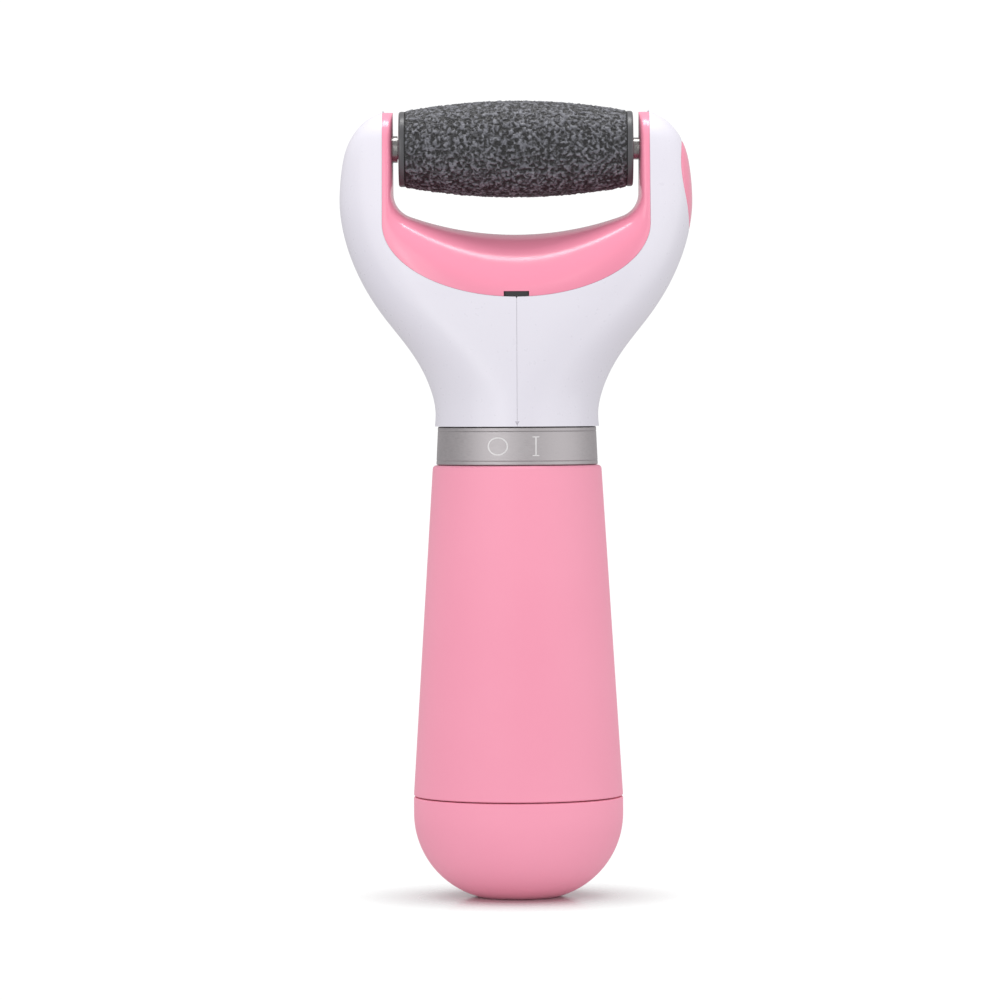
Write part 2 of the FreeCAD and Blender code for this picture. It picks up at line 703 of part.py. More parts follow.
def make_roller():
    """The abrasive barrel on its core, closed by two end caps."""
    half = "sleeve_half"
    bulge = "roller_radius - roller_end_radius"
    arc = f"(({half})^2 + ({bulge})^2)/(2*({bulge}))"
    level = (0, 0, "roller_level")
    subpart("abrasive_sleeve", turned("sleeve_barrel", [
        ("-sleeve_half", "sleeve_bore"),
        ("sleeve_half", "sleeve_bore"),
        ("sleeve_half", "roller_end_radius"),
        ("-sleeve_half", "roller_end_radius", arc),
    ], "H_Axis", level))
    subpart("roller_core", turned("core_tube", [
        ("-22", "sleeve_bore - core_wall"),
        ("22", "sleeve_bore - core_wall"),
        ("22", "sleeve_bore"),
        ("-22", "sleeve_bore"),
    ], "H_Axis", level))
    for name, side, bore in (("left", -1, 2.0), ("right", 1, "pin_radius + shaft_room")):
        body = turned(f"cap_{name}", [
            (f"{side}*22", 4.2),
            (f"{side}*22", "sleeve_bore"),
            (f"{side}*sleeve_half", "sleeve_bore"),
            (f"{side}*sleeve_half", "cap_rim_radius"),
            (f"{side}*(roller_half - 0.5)", "cap_rim_radius"),
            (f"{side}*roller_half", "cap_rim_radius - 0.5"),
            (f"{side}*roller_half", bore),
            (f"{side}*22.6", bore),
            (f"{side}*22.6", 4.2),
        ], "H_Axis", level)
        if name == "left":
            hexagon = doc.addObject("Part::Prism", "dog_socket")
            hexagon.Polygon = 6
            bind(hexagon, Circumradius="(dog_size + 0.3)/sqrt(3)", Height=8)
            place(hexagon, (-30, 0, "roller_level"), "X")
            body = cut("cap_left_with_socket", body, hexagon)
        subpart(f"roller_cap_{name}", body)


# ---------------------------------------------------------------- gears


def tooth_outline(teeth, module, backlash, tooth_at):
    """Flat-sided points round a spur gear with a tooth centred on the given angle."""
    pressure = math.radians(20)
    pitch = module * teeth / 2
    base = pitch * math.cos(pressure)
    tip = pitch + 0.9 * module
    root = pitch - 1.2 * module
    half_tooth = math.pi / (2 * teeth) - backlash / (4 * pitch)

    def half_angle(radius):
        if radius <= base:
            return half_tooth + math.tan(pressure) - pressure
        roll = math.acos(base / radius)
        return half_tooth + math.tan(pressure) - pressure - math.tan(roll) + roll

    flank = [max(base, root + 0.1), pitch - 0.2 * module, pitch + 0.35 * module, tip]
    points = []
    for tooth in range(teeth):
        middle = tooth_at + 2 * math.pi * tooth / teeth
        # the flank below the base circle narrows, as a hobbed root does
        rising = [(root, half_angle(root) * (0.92 if root < base else 1.0))]
        rising += [(radius, half_angle(radius)) for radius in flank]
        for radius, half in rising:
            points.append((radius, middle - half))
        for radius, half in reversed(rising):
            points.append((radius, middle + half))
    return [(radius * math.cos(angle), radius * math.sin(angle)) for radius, angle in points]


def spur_gear(name, centre, plane, width, bore, tooth_at):
    """A spur gear with its axis along X; angles are measured from +Y towards +Z."""
    outline = tooth_outline(TEETH[name], size("gear_module"), size("gear_backlash"), tooth_at)
    points = [Vector(plane, along, centre + up) for along, up in outline]
    blank = Part.Face(Part.makePolygon([*points, points[0]])).extrude(Vector(width, 0, 0))
    hole = Part.makeCylinder(bore, width + 2, Vector(plane - 1, 0, centre), Vector(1, 0, 0))
    return blank.cut(hole)


def make_gear_train():
    """Motor pinion to layshaft under the saddle, then idlers up the left arm to the roller."""
    up = math.pi / 2
    down = -math.pi / 2
    first = size("-first_plane - first_width")
    outer = size("-gear_plane - gear_width")
    width = size("gear_width")
    first_width = size("first_width")
    pin_bore = size("idler_pin_radius + shaft_room")
    layshaft = size("layshaft_radius")

    def half_pitch(name):
        return math.pi / TEETH[name]

    gears = [
        ("motor_pinion", "motor_level", first, first_width, size("motor_shaft_radius"), up),
        ("layshaft_wheel", "layshaft_level", first, first_width, layshaft, down + half_pitch("layshaft_wheel")),
        ("layshaft_pinion", "layshaft_level", outer, width, layshaft, up),
        ("lower_idler_gear", "lower_idler_level", outer, width, pin_bore,
         down + half_pitch("lower_idler_gear")),
        # the lower idler shows a gap at its top, so the upper idler has a tooth at its bottom
        ("upper_idler_gear", "upper_idler_level", outer, width, pin_bore, down),
        ("drive_gear", "roller_level", outer, width, 2.0, down),
    ]
    for name, level, plane, face, bore, tooth_at in gears:
        subpart(name, shaped(name, spur_gear(name, size(level), plane, face, bore, tooth_at)))


def make_shafts():
    """Layshaft, idler pins, their plate, and the drive spindle with its bush."""
    subpart("layshaft", cylinder("layshaft_rod", "layshaft_radius", "gear_plane + gear_width + 1.1 - 13.2",
                                 ("-gear_plane - gear_width - 1.1", 0, "layshaft_level"), "X"))
    pins = []
    for name in ("lower_idler_level", "upper_idler_level"):
        pins.append(cylinder(f"pin_{name}", "idler_pin_radius", "plate_plane - fork_half - 0.05",
                             ("-plate_plane", 0, name), "X"))
    subpart("idler_pins", group("idler_pin_pair", *pins))
    far = "-plate_plane - plate_thick"
    right_side = [(1.7, 144.4), (3.2, 149.0), (7.6, 157.5), (7.6, 160.4), (5.9, 167.8), (5.3, 170.0), (2.6, 175.6)]
    left_side = [(-across, up) for across, up in reversed(right_side)]
    sheet_metal = padded("plate_sheet", right_side + left_side, "YZ_Plane", 0, "plate_thick", (far, 0, 0))
    posts = []
    for index, (along, level) in enumerate([(-5.0, 168.5), (5.0, 168.5), (-6.6, 158.9), (6.6, 158.9)]):
        posts.append(cylinder(f"plate_post_{index}", 0.9, "plate_plane + plate_thick - fork_half - 0.05",
                              (far, along, level), "X"))
    holes = [
        cylinder("plate_layshaft_hole", "layshaft_radius + shaft_room", 6, (-38, 0, "layshaft_level"), "X"),
        cylinder("plate_spindle_hole", "1.5 + shaft_room", 6, (-38, 0, "roller_level"), "X"),
    ]
    subpart("gear_plate", cut("plate_drilled", join("plate_blank", sheet_metal, *posts), *holes))
    subpart("drive_spindle", join(
        "spindle_turned",
        cylinder("spindle_body", "spindle_radius", "gear_plane - roller_half - 0.3",
                 ("-gear_plane", 0, "roller_level"), "X"),
        cylinder("spindle_gear_seat", 2.0, "gear_width", ("-gear_plane - gear_width", 0, "roller_level"), "X"),
        cylinder("spindle_tail", 1.5, 1.3, ("-gear_plane - gear_width - 1.3", 0, "roller_level"), "X"),
        spindle_dog(),
    ))
    sleeve = cylinder("bush_blank", 3.95, "liner_wall - 0.1", ("-fork_half + 0.05", 0, "roller_level"), "X")
    hole = cylinder("bush_hole", "spindle_radius + shaft_room", 6, (-33, 0, "roller_level"), "X")
    subpart("spindle_bush", cut("bush", sleeve, hole))


def spindle_dog():
    """The hexagonal end of the spindle that drives the roller cap."""
    hexagon = doc.addObject("Part::Prism", "dog_prism")
    hexagon.Polygon = 6
    bind(hexagon, Circumradius="dog_size/sqrt(3)", Height="gear_plane - dog_reach - 1")
    place(hexagon, ("-gear_plane + 1", 0, "roller_level"), "X")
    return hexagon


# ---------------------------------------------------------------- motor


def flat_can(name, grow, left, right):
    """A round bar along X with two flats, the section of a small flat-sided motor."""
    bar = cylinder(f"{name}_round", f"motor_radius + ({grow})", f"({right})-({left})",
                   (left, 0, "motor_level"), "X")
    slab = block(f"{name}_flats", (left, right), (-15, 15),
                 (f"motor_level - motor_half_flat - ({grow})", f"motor_level + motor_half_flat + ({grow})"))
    return common(name, bar, slab)


def make_motor():
    """Can, magnets, rotor, end cap, terminals, front plate and the cradle below."""
    outer = flat_can("can_outside", 0, "motor_left", "motor_right")
    inner = flat_can("can_inside", -0.8, "motor_left + 0.8", "motor_right + 1")
    boss = cylinder("can_boss", 3.0, 1.5, ("motor_left - 1.5", 0, "motor_level"), "X")
    hole = cylinder("can_hole", "motor_shaft_radius + shaft_room", 6, ("motor_left - 3", 0, "motor_level"), "X")
    subpart("motor_can", cut("can", join("can_blank", outer, boss), inner, hole))
    plug = flat_can("plug_blank", -0.85, "motor_right - 2.4", "motor_right")
    lip = flat_can("plug_lip", 0, "motor_right + 0.02", "motor_right + 1.2")
    bearing = cylinder("plug_bearing", "motor_shaft_radius + shaft_room", 8, ("motor_right - 4", 0, "motor_level"),
                       "X")
    slots = [block(f"plug_slot_{index}", ("motor_right - 3", "motor_right + 2"),
                   (f"{side}*6.5 - 0.4", f"{side}*6.5 + 0.4"), ("motor_level - 1.2", "motor_level + 1.2"))
             for index, side in enumerate((-1, 1))]
    neck = flat_can("plug_neck", -0.85, "motor_right - 0.1", "motor_right + 0.1")
    subpart("motor_end_cap", cut("plug", join("plug_body", plug, neck, lip), bearing, *slots))
    tabs = [block(f"terminal_{index}", ("motor_right - 1", "motor_right + 4"),
                  (f"{side}*6.5 - 0.2", f"{side}*6.5 + 0.2"), ("motor_level - 1", "motor_level + 1"))
            for index, side in enumerate((-1, 1))]
    subpart("motor_terminals", group("terminal_pair", *tabs))
    ring = cut("magnet_ring",
               flat_can("magnet_blank", -0.9, "motor_left + 4", "motor_right - 5"),
               cylinder("magnet_bore", 6.6, 30, ("motor_left", 0, "motor_level"), "X"))
    gap = block("magnet_gap", (-20, 20), (-4.5, 4.5), ("motor_level - 12", "motor_level + 12"))
    subpart("motor_magnets", cut("magnets", ring, gap))
    subpart("armature", cut(
        "armature_drilled",
        join("armature_blank",
             cylinder("armature_core", 6.2, "motor_right - motor_left - 10",
                      ("motor_left + 4.5", 0, "motor_level"), "X"),
             cylinder("commutator", 2.6, 2.4, ("motor_right - 5.5", 0, "motor_level"), "X")),
        cylinder("armature_hole", "motor_shaft_radius", 40, ("motor_left - 5", 0, "motor_level"), "X")))
    subpart("motor_shaft", cylinder("motor_rod", "motor_shaft_radius", "motor_right - motor_left + 8",
                                    ("motor_left - 7.2", 0, "motor_level"), "X"))
    face = "motor_left - 0.05"
    plate = block("front_plate_block", ("motor_left - 1.3", face), (-8.5, 8.5),
                  ("motor_level - 6", "layshaft_level + 2.6"))
    openings = [
        cylinder("front_plate_boss_hole", 3.05, 6, (-15, 0, "motor_level"), "X"),
        cylinder("front_plate_shaft_hole", "layshaft_radius + shaft_room", 6, (-15, 0, "layshaft_level"), "X"),
    ]
    screws = []
    for index, side in enumerate((-1, 1)):
        at = f"{side}*6.5"
        openings.append(cylinder(f"front_plate_hole_{index}", 0.85, 6, (-15, at, "motor_level"), "X"))
        head = cylinder(f"motor_screw_head_{index}", 1.6, 0.9, ("motor_left - 2.25", at, "motor_level"), "X")
        shank = cylinder(f"motor_screw_shank_{index}", 0.8, 1.3, ("motor_left - 1.35", at, "motor_level"), "X")
        screws.append(join(f"motor_screw_{index}", head, shank))
    subpart("motor_front_plate", cut("front_plate", plate, *openings))
    subpart("motor_screws", group("motor_screw_pair", *screws))
    cradle = block("cradle_block", (-9, 10.5), (-12.4, 12.4), (126.5, "motor_level - 1.5"))
    seat = flat_can("cradle_seat", 0.05, -10, 12)
    clearance = block("cradle_clearance", (-10, 12), (-10.4, 10.4), ("motor_level - 3.5", "motor_level + 9"))
    subpart("motor_cradle", cut("cradle", cradle, seat, clearance))


# ---------------------------------------------------------------- roller release


def make_release():
    """Side button, lever, and the sprung pin that holds the roller's right end."""
    face = head_solid(0.0, 150.0, 177.6).common(button_prism(0, 34.5, 45))
    face = face.cut(head_solid(2.6, 150.0, 177.6))
    lip = head_solid(1.8, 150.0, 177.6).cut(head_solid(2.6, 150.0, 177.6))
    lip = lip.common(button_prism(1.0, 34.5, 45))
    pocket = Part.makeCylinder(3.9, 5.2, Vector(32, 0, size("roller_level")), Vector(1, 0, 0))
    post = Part.makeCylinder(1.2, 4.4, Vector(34.25, 0, size("button_post_level")), Vector(1, 0, 0))
    button = face.fuse([lip, post]).cut(pocket)
    subpart("release_button", shaped("release_button", button))
    level = "roller_level"
    subpart("retaining_pin", turned("pin_turned", [
        ("pin_reach", 0),
        ("flange_face", 0),
        ("flange_face", "flange_radius"),
        ("flange_face - 1", "flange_radius"),
        ("flange_face - 1", "pin_radius"),
        ("pin_reach + 0.4", "pin_radius"),
        ("pin_reach", "pin_radius - 0.4"),
    ], "H_Axis", (0, 0, level)))
    wire = 0.22
    coil = coil_spring(size("37.1 - flange_face - 0.1") - 2 * wire, 2.0, wire, 3)
    subpart("pin_spring", shaped("pin_spring", coil, (f"flange_face + 0.05 + {wire}", 0, level), "X"))
    sleeve = cylinder("pin_bush_blank", "pin_radius + 0.85", "liner_wall - 0.1", ("fork_half - liner_wall + 0.05", 0, level),
                      "X")
    hole = cylinder("pin_bush_hole", "pin_radius + shaft_room", 6, (27, 0, level), "X")
    subpart("pin_bush", cut("pin_bush_bored", sleeve, hole))
    pivot_at = ("lever_plane", -4.2, "lever_level")
    subpart("lever_pivot", cylinder("lever_pivot_rod", 0.8, 8.4, pivot_at, "Y"))
    neck = block("lever_neck", (31.1, 32.1), (-2.9, 2.9), ("lever_level", "roller_level - 3.0"))
    upper = block("lever_upper", (31.1, 32.1), (-4.4, 4.4), (169.5, "roller_level + 0.8"))
    fork = block("lever_fork_gap", (30, 34), (-2.8, 2.8), ("roller_level - 3.0", 180))
    hub = cylinder("lever_hub", 1.6, 6.4, ("lever_plane", -3.2, "lever_level"), "Y")
    lower = block("lever_lower", (32.9, 33.9), (-2.4, 2.4), ("button_post_level - 1", "lever_level"))
    bore = cylinder("lever_bore", "0.8 + shaft_room", 12, ("lever_plane", -6, "lever_level"), "Y")
    prongs = cut("lever_prongs", upper, fork)
    subpart("release_lever", cut("lever", join("lever_blank", prongs, neck, hub, lower), bore))
    cheeks = []
    for name, low, high in (("front", -4.3, -3.3), ("back", 3.3, 4.3)):
        cheeks.append(block(f"lever_cheek_{name}", ("fork_half + 0.05", 34.2), (low, high), (164.9, 169.1)))
    holes = cylinder("cheek_hole", 0.8, 12, ("lever_plane", -6, "lever_level"), "Y")
    subpart("lever_brackets", cut("lever_cheeks", join("lever_cheek_pair", *cheeks), holes))


# ---------------------------------------------------------------- build, test, write

make_bottom_cap()
make_cap_contacts()
make_handle_shell()
make_batteries()
make_neck()
make_switch()
make_head_shells()
make_cradle_liner()
make_roller()
make_gear_train()
make_shafts()
make_motor()
make_release()

doc.recompute()
for item in doc.Objects:
    if "Invalid" in item.State or "Error" in item.State:
        raise RuntimeError(f"{item.Name} did not compute: {item.State}")
for item in subparts:
    if item.Shape.isNull() or not item.Shape.isValid():
        raise RuntimeError(f"{item.Label} has no valid shape")
    if not item.Shape.Solids or item.Shape.Volume <= 0:
        raise RuntimeError(f"{item.Label} is not a solid")

os.makedirs("parts", exist_ok=True)
for item in subparts:
    item.Shape.exportStep(f"parts/{item.Label}.step")
print(f"{len(subparts)} sub-parts written")
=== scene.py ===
import json
import math

import bmesh
import bpy
import numpy as np
from mathutils import Matrix, Vector, noise


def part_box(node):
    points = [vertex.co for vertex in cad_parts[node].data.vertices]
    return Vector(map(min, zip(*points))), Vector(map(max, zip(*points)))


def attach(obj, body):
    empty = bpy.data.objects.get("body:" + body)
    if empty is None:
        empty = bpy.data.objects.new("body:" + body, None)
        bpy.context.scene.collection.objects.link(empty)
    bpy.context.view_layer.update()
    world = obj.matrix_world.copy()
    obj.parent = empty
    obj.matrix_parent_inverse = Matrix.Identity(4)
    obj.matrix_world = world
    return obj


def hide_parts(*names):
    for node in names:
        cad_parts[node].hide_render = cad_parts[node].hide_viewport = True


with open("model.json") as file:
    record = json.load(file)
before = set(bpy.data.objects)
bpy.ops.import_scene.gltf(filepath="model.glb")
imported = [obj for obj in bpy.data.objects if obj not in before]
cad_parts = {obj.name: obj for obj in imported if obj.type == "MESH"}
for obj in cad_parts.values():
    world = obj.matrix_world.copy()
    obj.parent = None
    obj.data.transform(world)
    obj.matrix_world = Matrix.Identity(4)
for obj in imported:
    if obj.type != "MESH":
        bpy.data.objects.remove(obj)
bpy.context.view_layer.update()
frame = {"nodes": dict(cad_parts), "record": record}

# The looks of an electric callus remover. Metres, +Z up, the front faces -Y.
# Visible shells are rebuilt here as fine meshes on the sizes of the CAD nodes they stand for;
# the inner parts keep their CAD shapes and take procedural materials.

MM = 0.001

# ---------------------------------------------------------------- sizes taken from the frame

ROLLER_LOW, ROLLER_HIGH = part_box("abrasive_sleeve")
ROLLER_LEVEL = (ROLLER_LOW.z + ROLLER_HIGH.z) / 2
ROLLER_RADIUS = (ROLLER_HIGH.z - ROLLER_LOW.z) / 2
SLEEVE_HALF = ROLLER_HIGH.x
ROLLER_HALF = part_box("roller_cap_right")[1].x
RIM_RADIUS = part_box("roller_cap_right")[1].z - ROLLER_LEVEL
HEAD_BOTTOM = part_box("head_shell_right")[0].z
FORK_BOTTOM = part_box("cradle_liner")[0].z
FORK_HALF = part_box("cradle_liner")[1].x
CAP_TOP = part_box("bottom_cap")[1].z
CAP_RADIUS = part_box("bottom_cap")[1].x
HANDLE_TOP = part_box("handle_shell")[1].z
SPIGOT_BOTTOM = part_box("handle_shell")[0].z
RING_LOW, RING_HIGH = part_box("switch_ring")

# ---------------------------------------------------------------- curves and meshes


def spline_through(points, count):
    """A natural cubic spline through the points, sampled evenly along its chords."""
    points = np.asarray(points, float)
    knots = np.concatenate([[0], np.cumsum(np.linalg.norm(np.diff(points, axis=0), axis=1))])
    steps = np.diff(knots)
    size = len(points)
    matrix = np.eye(size)
    right = np.zeros_like(points)
    for row in range(1, size - 1):
        matrix[row, row - 1:row + 2] = steps[row - 1], 2 * (steps[row - 1] + steps[row]), steps[row]
        rise = (points[row + 1] - points[row]) / steps[row]
        fall = (points[row] - points[row - 1]) / steps[row - 1]
        right[row] = 6 * (rise - fall)
    bend = np.linalg.solve(matrix, right)
    at = np.linspace(0, knots[-1], count)
    cell = np.clip(np.searchsorted(knots, at, side="right") - 1, 0, size - 2)
    step = steps[cell][:, None]
    after = (at - knots[cell])[:, None]
    before = step - after
    return (bend[cell] * before ** 3 + bend[cell + 1] * after ** 3) / (6 * step) \
        + (points[cell] / step - bend[cell] * step / 6) * before \
        + (points[cell + 1] / step - bend[cell + 1] * step / 6) * after


def rounded(corners, steps=6):
    """A closed or open outline with each corner (a, b, radius) turned into an arc."""
    line = []
    last = len(corners) - 1
    for index, (a, b, radius) in enumerate(corners):
        here = np.array([a, b])
        if radius <= 0 or index in (0, last):
            line.append(here)
            continue
        back = np.array(corners[index - 1][:2]) - here
        ahead = np.array(corners[index + 1][:2]) - here
        back_length, ahead_length = np.linalg.norm(back), np.linalg.norm(ahead)
        back, ahead = back / back_length, ahead / ahead_length
        half = math.acos(float(np.clip(back @ ahead, -1, 1))) / 2
        reach = min(radius / math.tan(half), 0.49 * back_length, 0.49 * ahead_length)
        radius = reach * math.tan(half)
        centre = here + (back + ahead) / np.linalg.norm(back + ahead) * radius / math.sin(half)
        start, end = here + back * reach - centre, here + ahead * reach - centre
        turn = math.atan2(start[0] * end[1] - start[1] * end[0], start @ end)
        for step in range(steps + 1):
            angle = turn * step / steps
            cos, sin = math.cos(angle), math.sin(angle)
            line.append(centre + np.array([start[0] * cos - start[1] * sin, start[0] * sin + start[1] * cos]))
    return np.array(line)


def full_turn(count):
    """Angles spread evenly over one turn."""
    return np.linspace(0, 2 * math.pi, count, endpoint=False)


def crowded(count):
    """Shares from 0 to 1 that lie closer together towards 1."""
    return 1 - (1 - np.linspace(0, 1, count)) ** 1.5


def face_outwards(mesh):
    """Turn every face of a closed mesh outwards."""
    bm = bmesh.new()
    bm.from_mesh(mesh)
    bmesh.ops.recalc_face_normals(bm, faces=bm.faces)
    bm.to_mesh(mesh)
    bm.free()


def new_piece(name, verts, faces, look, body, replaced=()):
    """Make a piece of the given points and faces, and finish it."""
    mesh = bpy.data.meshes.new(name)
    mesh.from_pydata([tuple(v) for v in verts], [], [tuple(f) for f in faces])
    mesh.update()
    return finish_piece(bpy.data.objects.new(name, mesh), look, body, replaced)


def finish_piece(piece, look, body, replaced=()):
    """Link a piece, shade it smoothly, and hang it on its body."""
    bpy.context.scene.collection.objects.link(piece)
    piece.data.materials.clear()
    piece.data.materials.append(look)
    piece.data.shade_smooth()
    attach(piece, body)
    if replaced:
        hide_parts(*replaced)
    return piece


def grid_faces(rows, columns, close_rows=False, close_columns=False):
    """The quads of a grid of points, joined up across its ends where asked."""
    faces = []
    for row in range(rows if close_rows else rows - 1):
        for column in range(columns if close_columns else columns - 1):
            below, right = (row + 1) % rows, (column + 1) % columns
            faces.append((row * columns + column, row * columns + right,
                          below * columns + right, below * columns + column))
    return faces


def tidy_mesh(bm, merge=2e-6):
    """Merge doubled points and drop the flat faces that a collapsed row leaves."""
    bmesh.ops.remove_doubles(bm, verts=bm.verts, dist=merge)
    bmesh.ops.dissolve_degenerate(bm, edges=bm.edges, dist=merge / 2)
    bmesh.ops.recalc_face_normals(bm, faces=bm.faces)


def keep_creases(piece, degrees=35):
    """Smooth shading that stays crisp across real edges."""
    piece.data.set_sharp_from_angle(angle=math.radians(degrees))


def turned(name, outline, look, body, replaced=(), about="Z", level=0.0, segments=192, closed=True):
    """Turn an outline of (radius, along) about Z, or about a level line along X."""
    outline = np.asarray(outline, float)
    if closed:
        outline = outline[:-1] if np.allclose(outline[0], outline[-1]) else outline
    count = len(outline)
    angles = full_turn(segments)
    verts = []
    for radius, along in outline:
        for angle in angles:
            if about == "Z":
                verts.append((radius * math.cos(angle), radius * math.sin(angle), along))
            else:
                verts.append((along, radius * math.cos(angle), level + radius * math.sin(angle)))
    bm = bmesh.new()
    mesh = bpy.data.meshes.new(name)
    mesh.from_pydata(verts, [], grid_faces(count, segments, closed, True))
    bm.from_mesh(mesh)
    tidy_mesh(bm)
    bm.to_mesh(mesh)
    bm.free()
    piece = finish_piece(bpy.data.objects.new(name, mesh), look, body, replaced)
    keep_creases(piece)
    return piece


def shell_from_grid(name, points, thickness, edge, look, body, replaced, outward):
    """A shell of its own thickness from an open grid of outer points, with rounded rims.

    thickness has one value per point; outward is a function that says which way is out.
    """
    rows, columns = points.shape[:2]
    outer = points.reshape(-1, 3)
    faces = grid_faces(rows, columns)
    mesh = bpy.data.meshes.new(name)
    mesh.from_pydata(outer.tolist(), [], faces)
    mesh.update()
    normals = np.zeros(len(outer) * 3)
    mesh.vertices.foreach_get("normal", normals)
    normals = normals.reshape(-1, 3)
    middle = len(outer) // 2 + columns // 2
    if outward(outer[middle], normals[middle]) < 0:
        normals = -normals
    inner = outer - normals * thickness.reshape(-1, 1)
    total = len(outer)
    all_faces = faces + [tuple(total + corner for corner in reversed(face)) for face in faces]
    ring = [(0, c) for c in range(columns)] + [(r, columns - 1) for r in range(1, rows)] \
        + [(rows - 1, c) for c in range(columns - 2, -1, -1)] + [(r, 0) for r in range(rows - 2, 0, -1)]
    ids = [r * columns + c for r, c in ring]
    for first, second in zip(ids, ids[1:] + ids[:1]):
        all_faces.append((second, first, total + first, total + second))
    mesh.clear_geometry()
    mesh.from_pydata(np.vstack([outer, inner]).tolist(), [], all_faces)
    bm = bmesh.new()
    bm.from_mesh(mesh)
    bm.verts.ensure_lookup_table()
    rim = {frozenset(pair) for pair in zip(ids, ids[1:] + ids[:1])}
    rim_edges = [e for e in bm.edges if frozenset(v.index for v in e.verts) in rim and e.calc_length() > 1e-5]
    bmesh.ops.bevel(bm, geom=rim_edges, offset=edge, segments=3, profile=0.5, affect="EDGES",
                    clamp_overlap=True)
    tidy_mesh(bm)
    bm.to_mesh(mesh)
    bm.free()
    return finish_piece(bpy.data.objects.new(name, mesh), look, body, replaced)


def carve(piece, cutter):
    """Cut one mesh out of another for good."""
    bpy.context.scene.collection.objects.link(cutter)
    step = piece.modifiers.new("carve", "BOOLEAN")
    step.operation = "DIFFERENCE"
    step.solver = "EXACT"
    step.object = cutter
    bpy.context.view_layer.update()
    graph = bpy.context.evaluated_depsgraph_get()
    result = bpy.data.meshes.new_from_object(piece.evaluated_get(graph))
    piece.modifiers.clear()
    old = piece.data
    piece.data = result
    bpy.data.meshes.remove(old)
    bpy.data.objects.remove(cutter)
    piece.data.shade_smooth()
    keep_creases(piece)


def loft_object(name, rings):
    """A closed solid through rings of equal length, as a cutter or a small part."""
    count = len(rings[0])
    verts = [tuple(point) for ring in rings for point in ring]
    faces = grid_faces(len(rings), count, False, True)
    faces.append(tuple(reversed(range(count))))
    faces.append(tuple(range(len(verts) - count, len(verts))))
    mesh = bpy.data.meshes.new(name)
    mesh.from_pydata(verts, [], faces)
    face_outwards(mesh)
    return bpy.data.objects.new(name, mesh)


# ---------------------------------------------------------------- materials


class Look:
    """A node material with a Principled shader and short calls for what feeds it."""

    def __init__(self, name):
        self.material = bpy.data.materials.new(name)
        self.material.use_nodes = True
        self.nodes = self.material.node_tree.nodes
        self.links = self.material.node_tree.links
        self.shader = self.nodes["Principled BSDF"]
        self.place = self.nodes.new("ShaderNodeTexCoord").outputs["Object"]

    def set(self, **values):
        for name, value in values.items():
            self.shader.inputs[name.replace("_", " ")].default_value = value
        return self

    def stretched(self, scale):
        """Object coordinates scaled differently along each axis."""
        mapping = self.nodes.new("ShaderNodeMapping")
        mapping.inputs["Scale"].default_value = scale
        self.links.new(self.place, mapping.inputs["Vector"])
        return mapping.outputs["Vector"]

    def noise(self, scale, detail=3.0, rough=0.5, place=None):
        texture = self.nodes.new("ShaderNodeTexNoise")
        texture.inputs["Scale"].default_value = scale
        texture.inputs["Detail"].default_value = detail
        texture.inputs["Roughness"].default_value = rough
        self.links.new(place or self.place, texture.inputs["Vector"])
        return texture.outputs["Fac"]

    def cells(self, scale, feature="F1", place=None):
        texture = self.nodes.new("ShaderNodeTexVoronoi")
        texture.feature = feature
        texture.inputs["Scale"].default_value = scale
        self.links.new(place or self.place, texture.inputs["Vector"])
        return texture.outputs["Distance"]

    def attribute(self, name):
        reader = self.nodes.new("ShaderNodeAttribute")
        reader.attribute_name = name
        return reader.outputs["Fac"]

    def ramp(self, source, stops):
        ramp = self.nodes.new("ShaderNodeValToRGB")
        elements = ramp.color_ramp.elements
        while len(elements) < len(stops):
            elements.new(0.5)
        for element, (position, colour) in zip(elements, stops):
            element.position = position
            element.color = (*colour, 1.0)
        self.links.new(source, ramp.inputs["Fac"])
        return ramp.outputs["Color"]

    def mottle(self, scale, detail, dark, light):
        """A soft noise that wanders between two colours."""
        return self.ramp(self.noise(scale, detail), [(0.3, dark), (0.7, light)])

    def spread(self, source, low, high, at=(0.3, 0.7)):
        """Map a texture's middle range onto two values."""
        node = self.nodes.new("ShaderNodeMapRange")
        for name, value in zip(("From Min", "From Max", "To Min", "To Max"), (*at, low, high)):
            node.inputs[name].default_value = value
        self.links.new(source, node.inputs["Value"])
        return node.outputs["Result"]

    def mix(self, first, second, share, kind="MIX"):
        node = self.nodes.new("ShaderNodeMix")
        node.data_type = "RGBA"
        node.blend_type = kind
        for name, value in (("Factor", share), ("A", first), ("B", second)):
            socket = node.inputs[name]
            if isinstance(value, (int, float)):
                socket.default_value = value
            elif isinstance(value, tuple):
                socket.default_value = (*value, 1.0)
            else:
                self.links.new(value, socket)
        return node.outputs["Result"]

    def colour(self, source):
        self.links.new(source, self.shader.inputs["Base Color"])
        return self

    def roughness(self, source):
        self.links.new(source, self.shader.inputs["Roughness"])
        return self

    def bump(self, source, distance, strength=1.0, under=None):
        node = self.nodes.new("ShaderNodeBump")
        node.inputs["Strength"].default_value = strength
        node.inputs["Distance"].default_value = distance
        self.links.new(source, node.inputs["Height"])
        if under is not None:
            self.links.new(under, node.inputs["Normal"])
        self.links.new(node.outputs["Normal"], self.shader.inputs["Normal"])
        return node.outputs["Normal"]


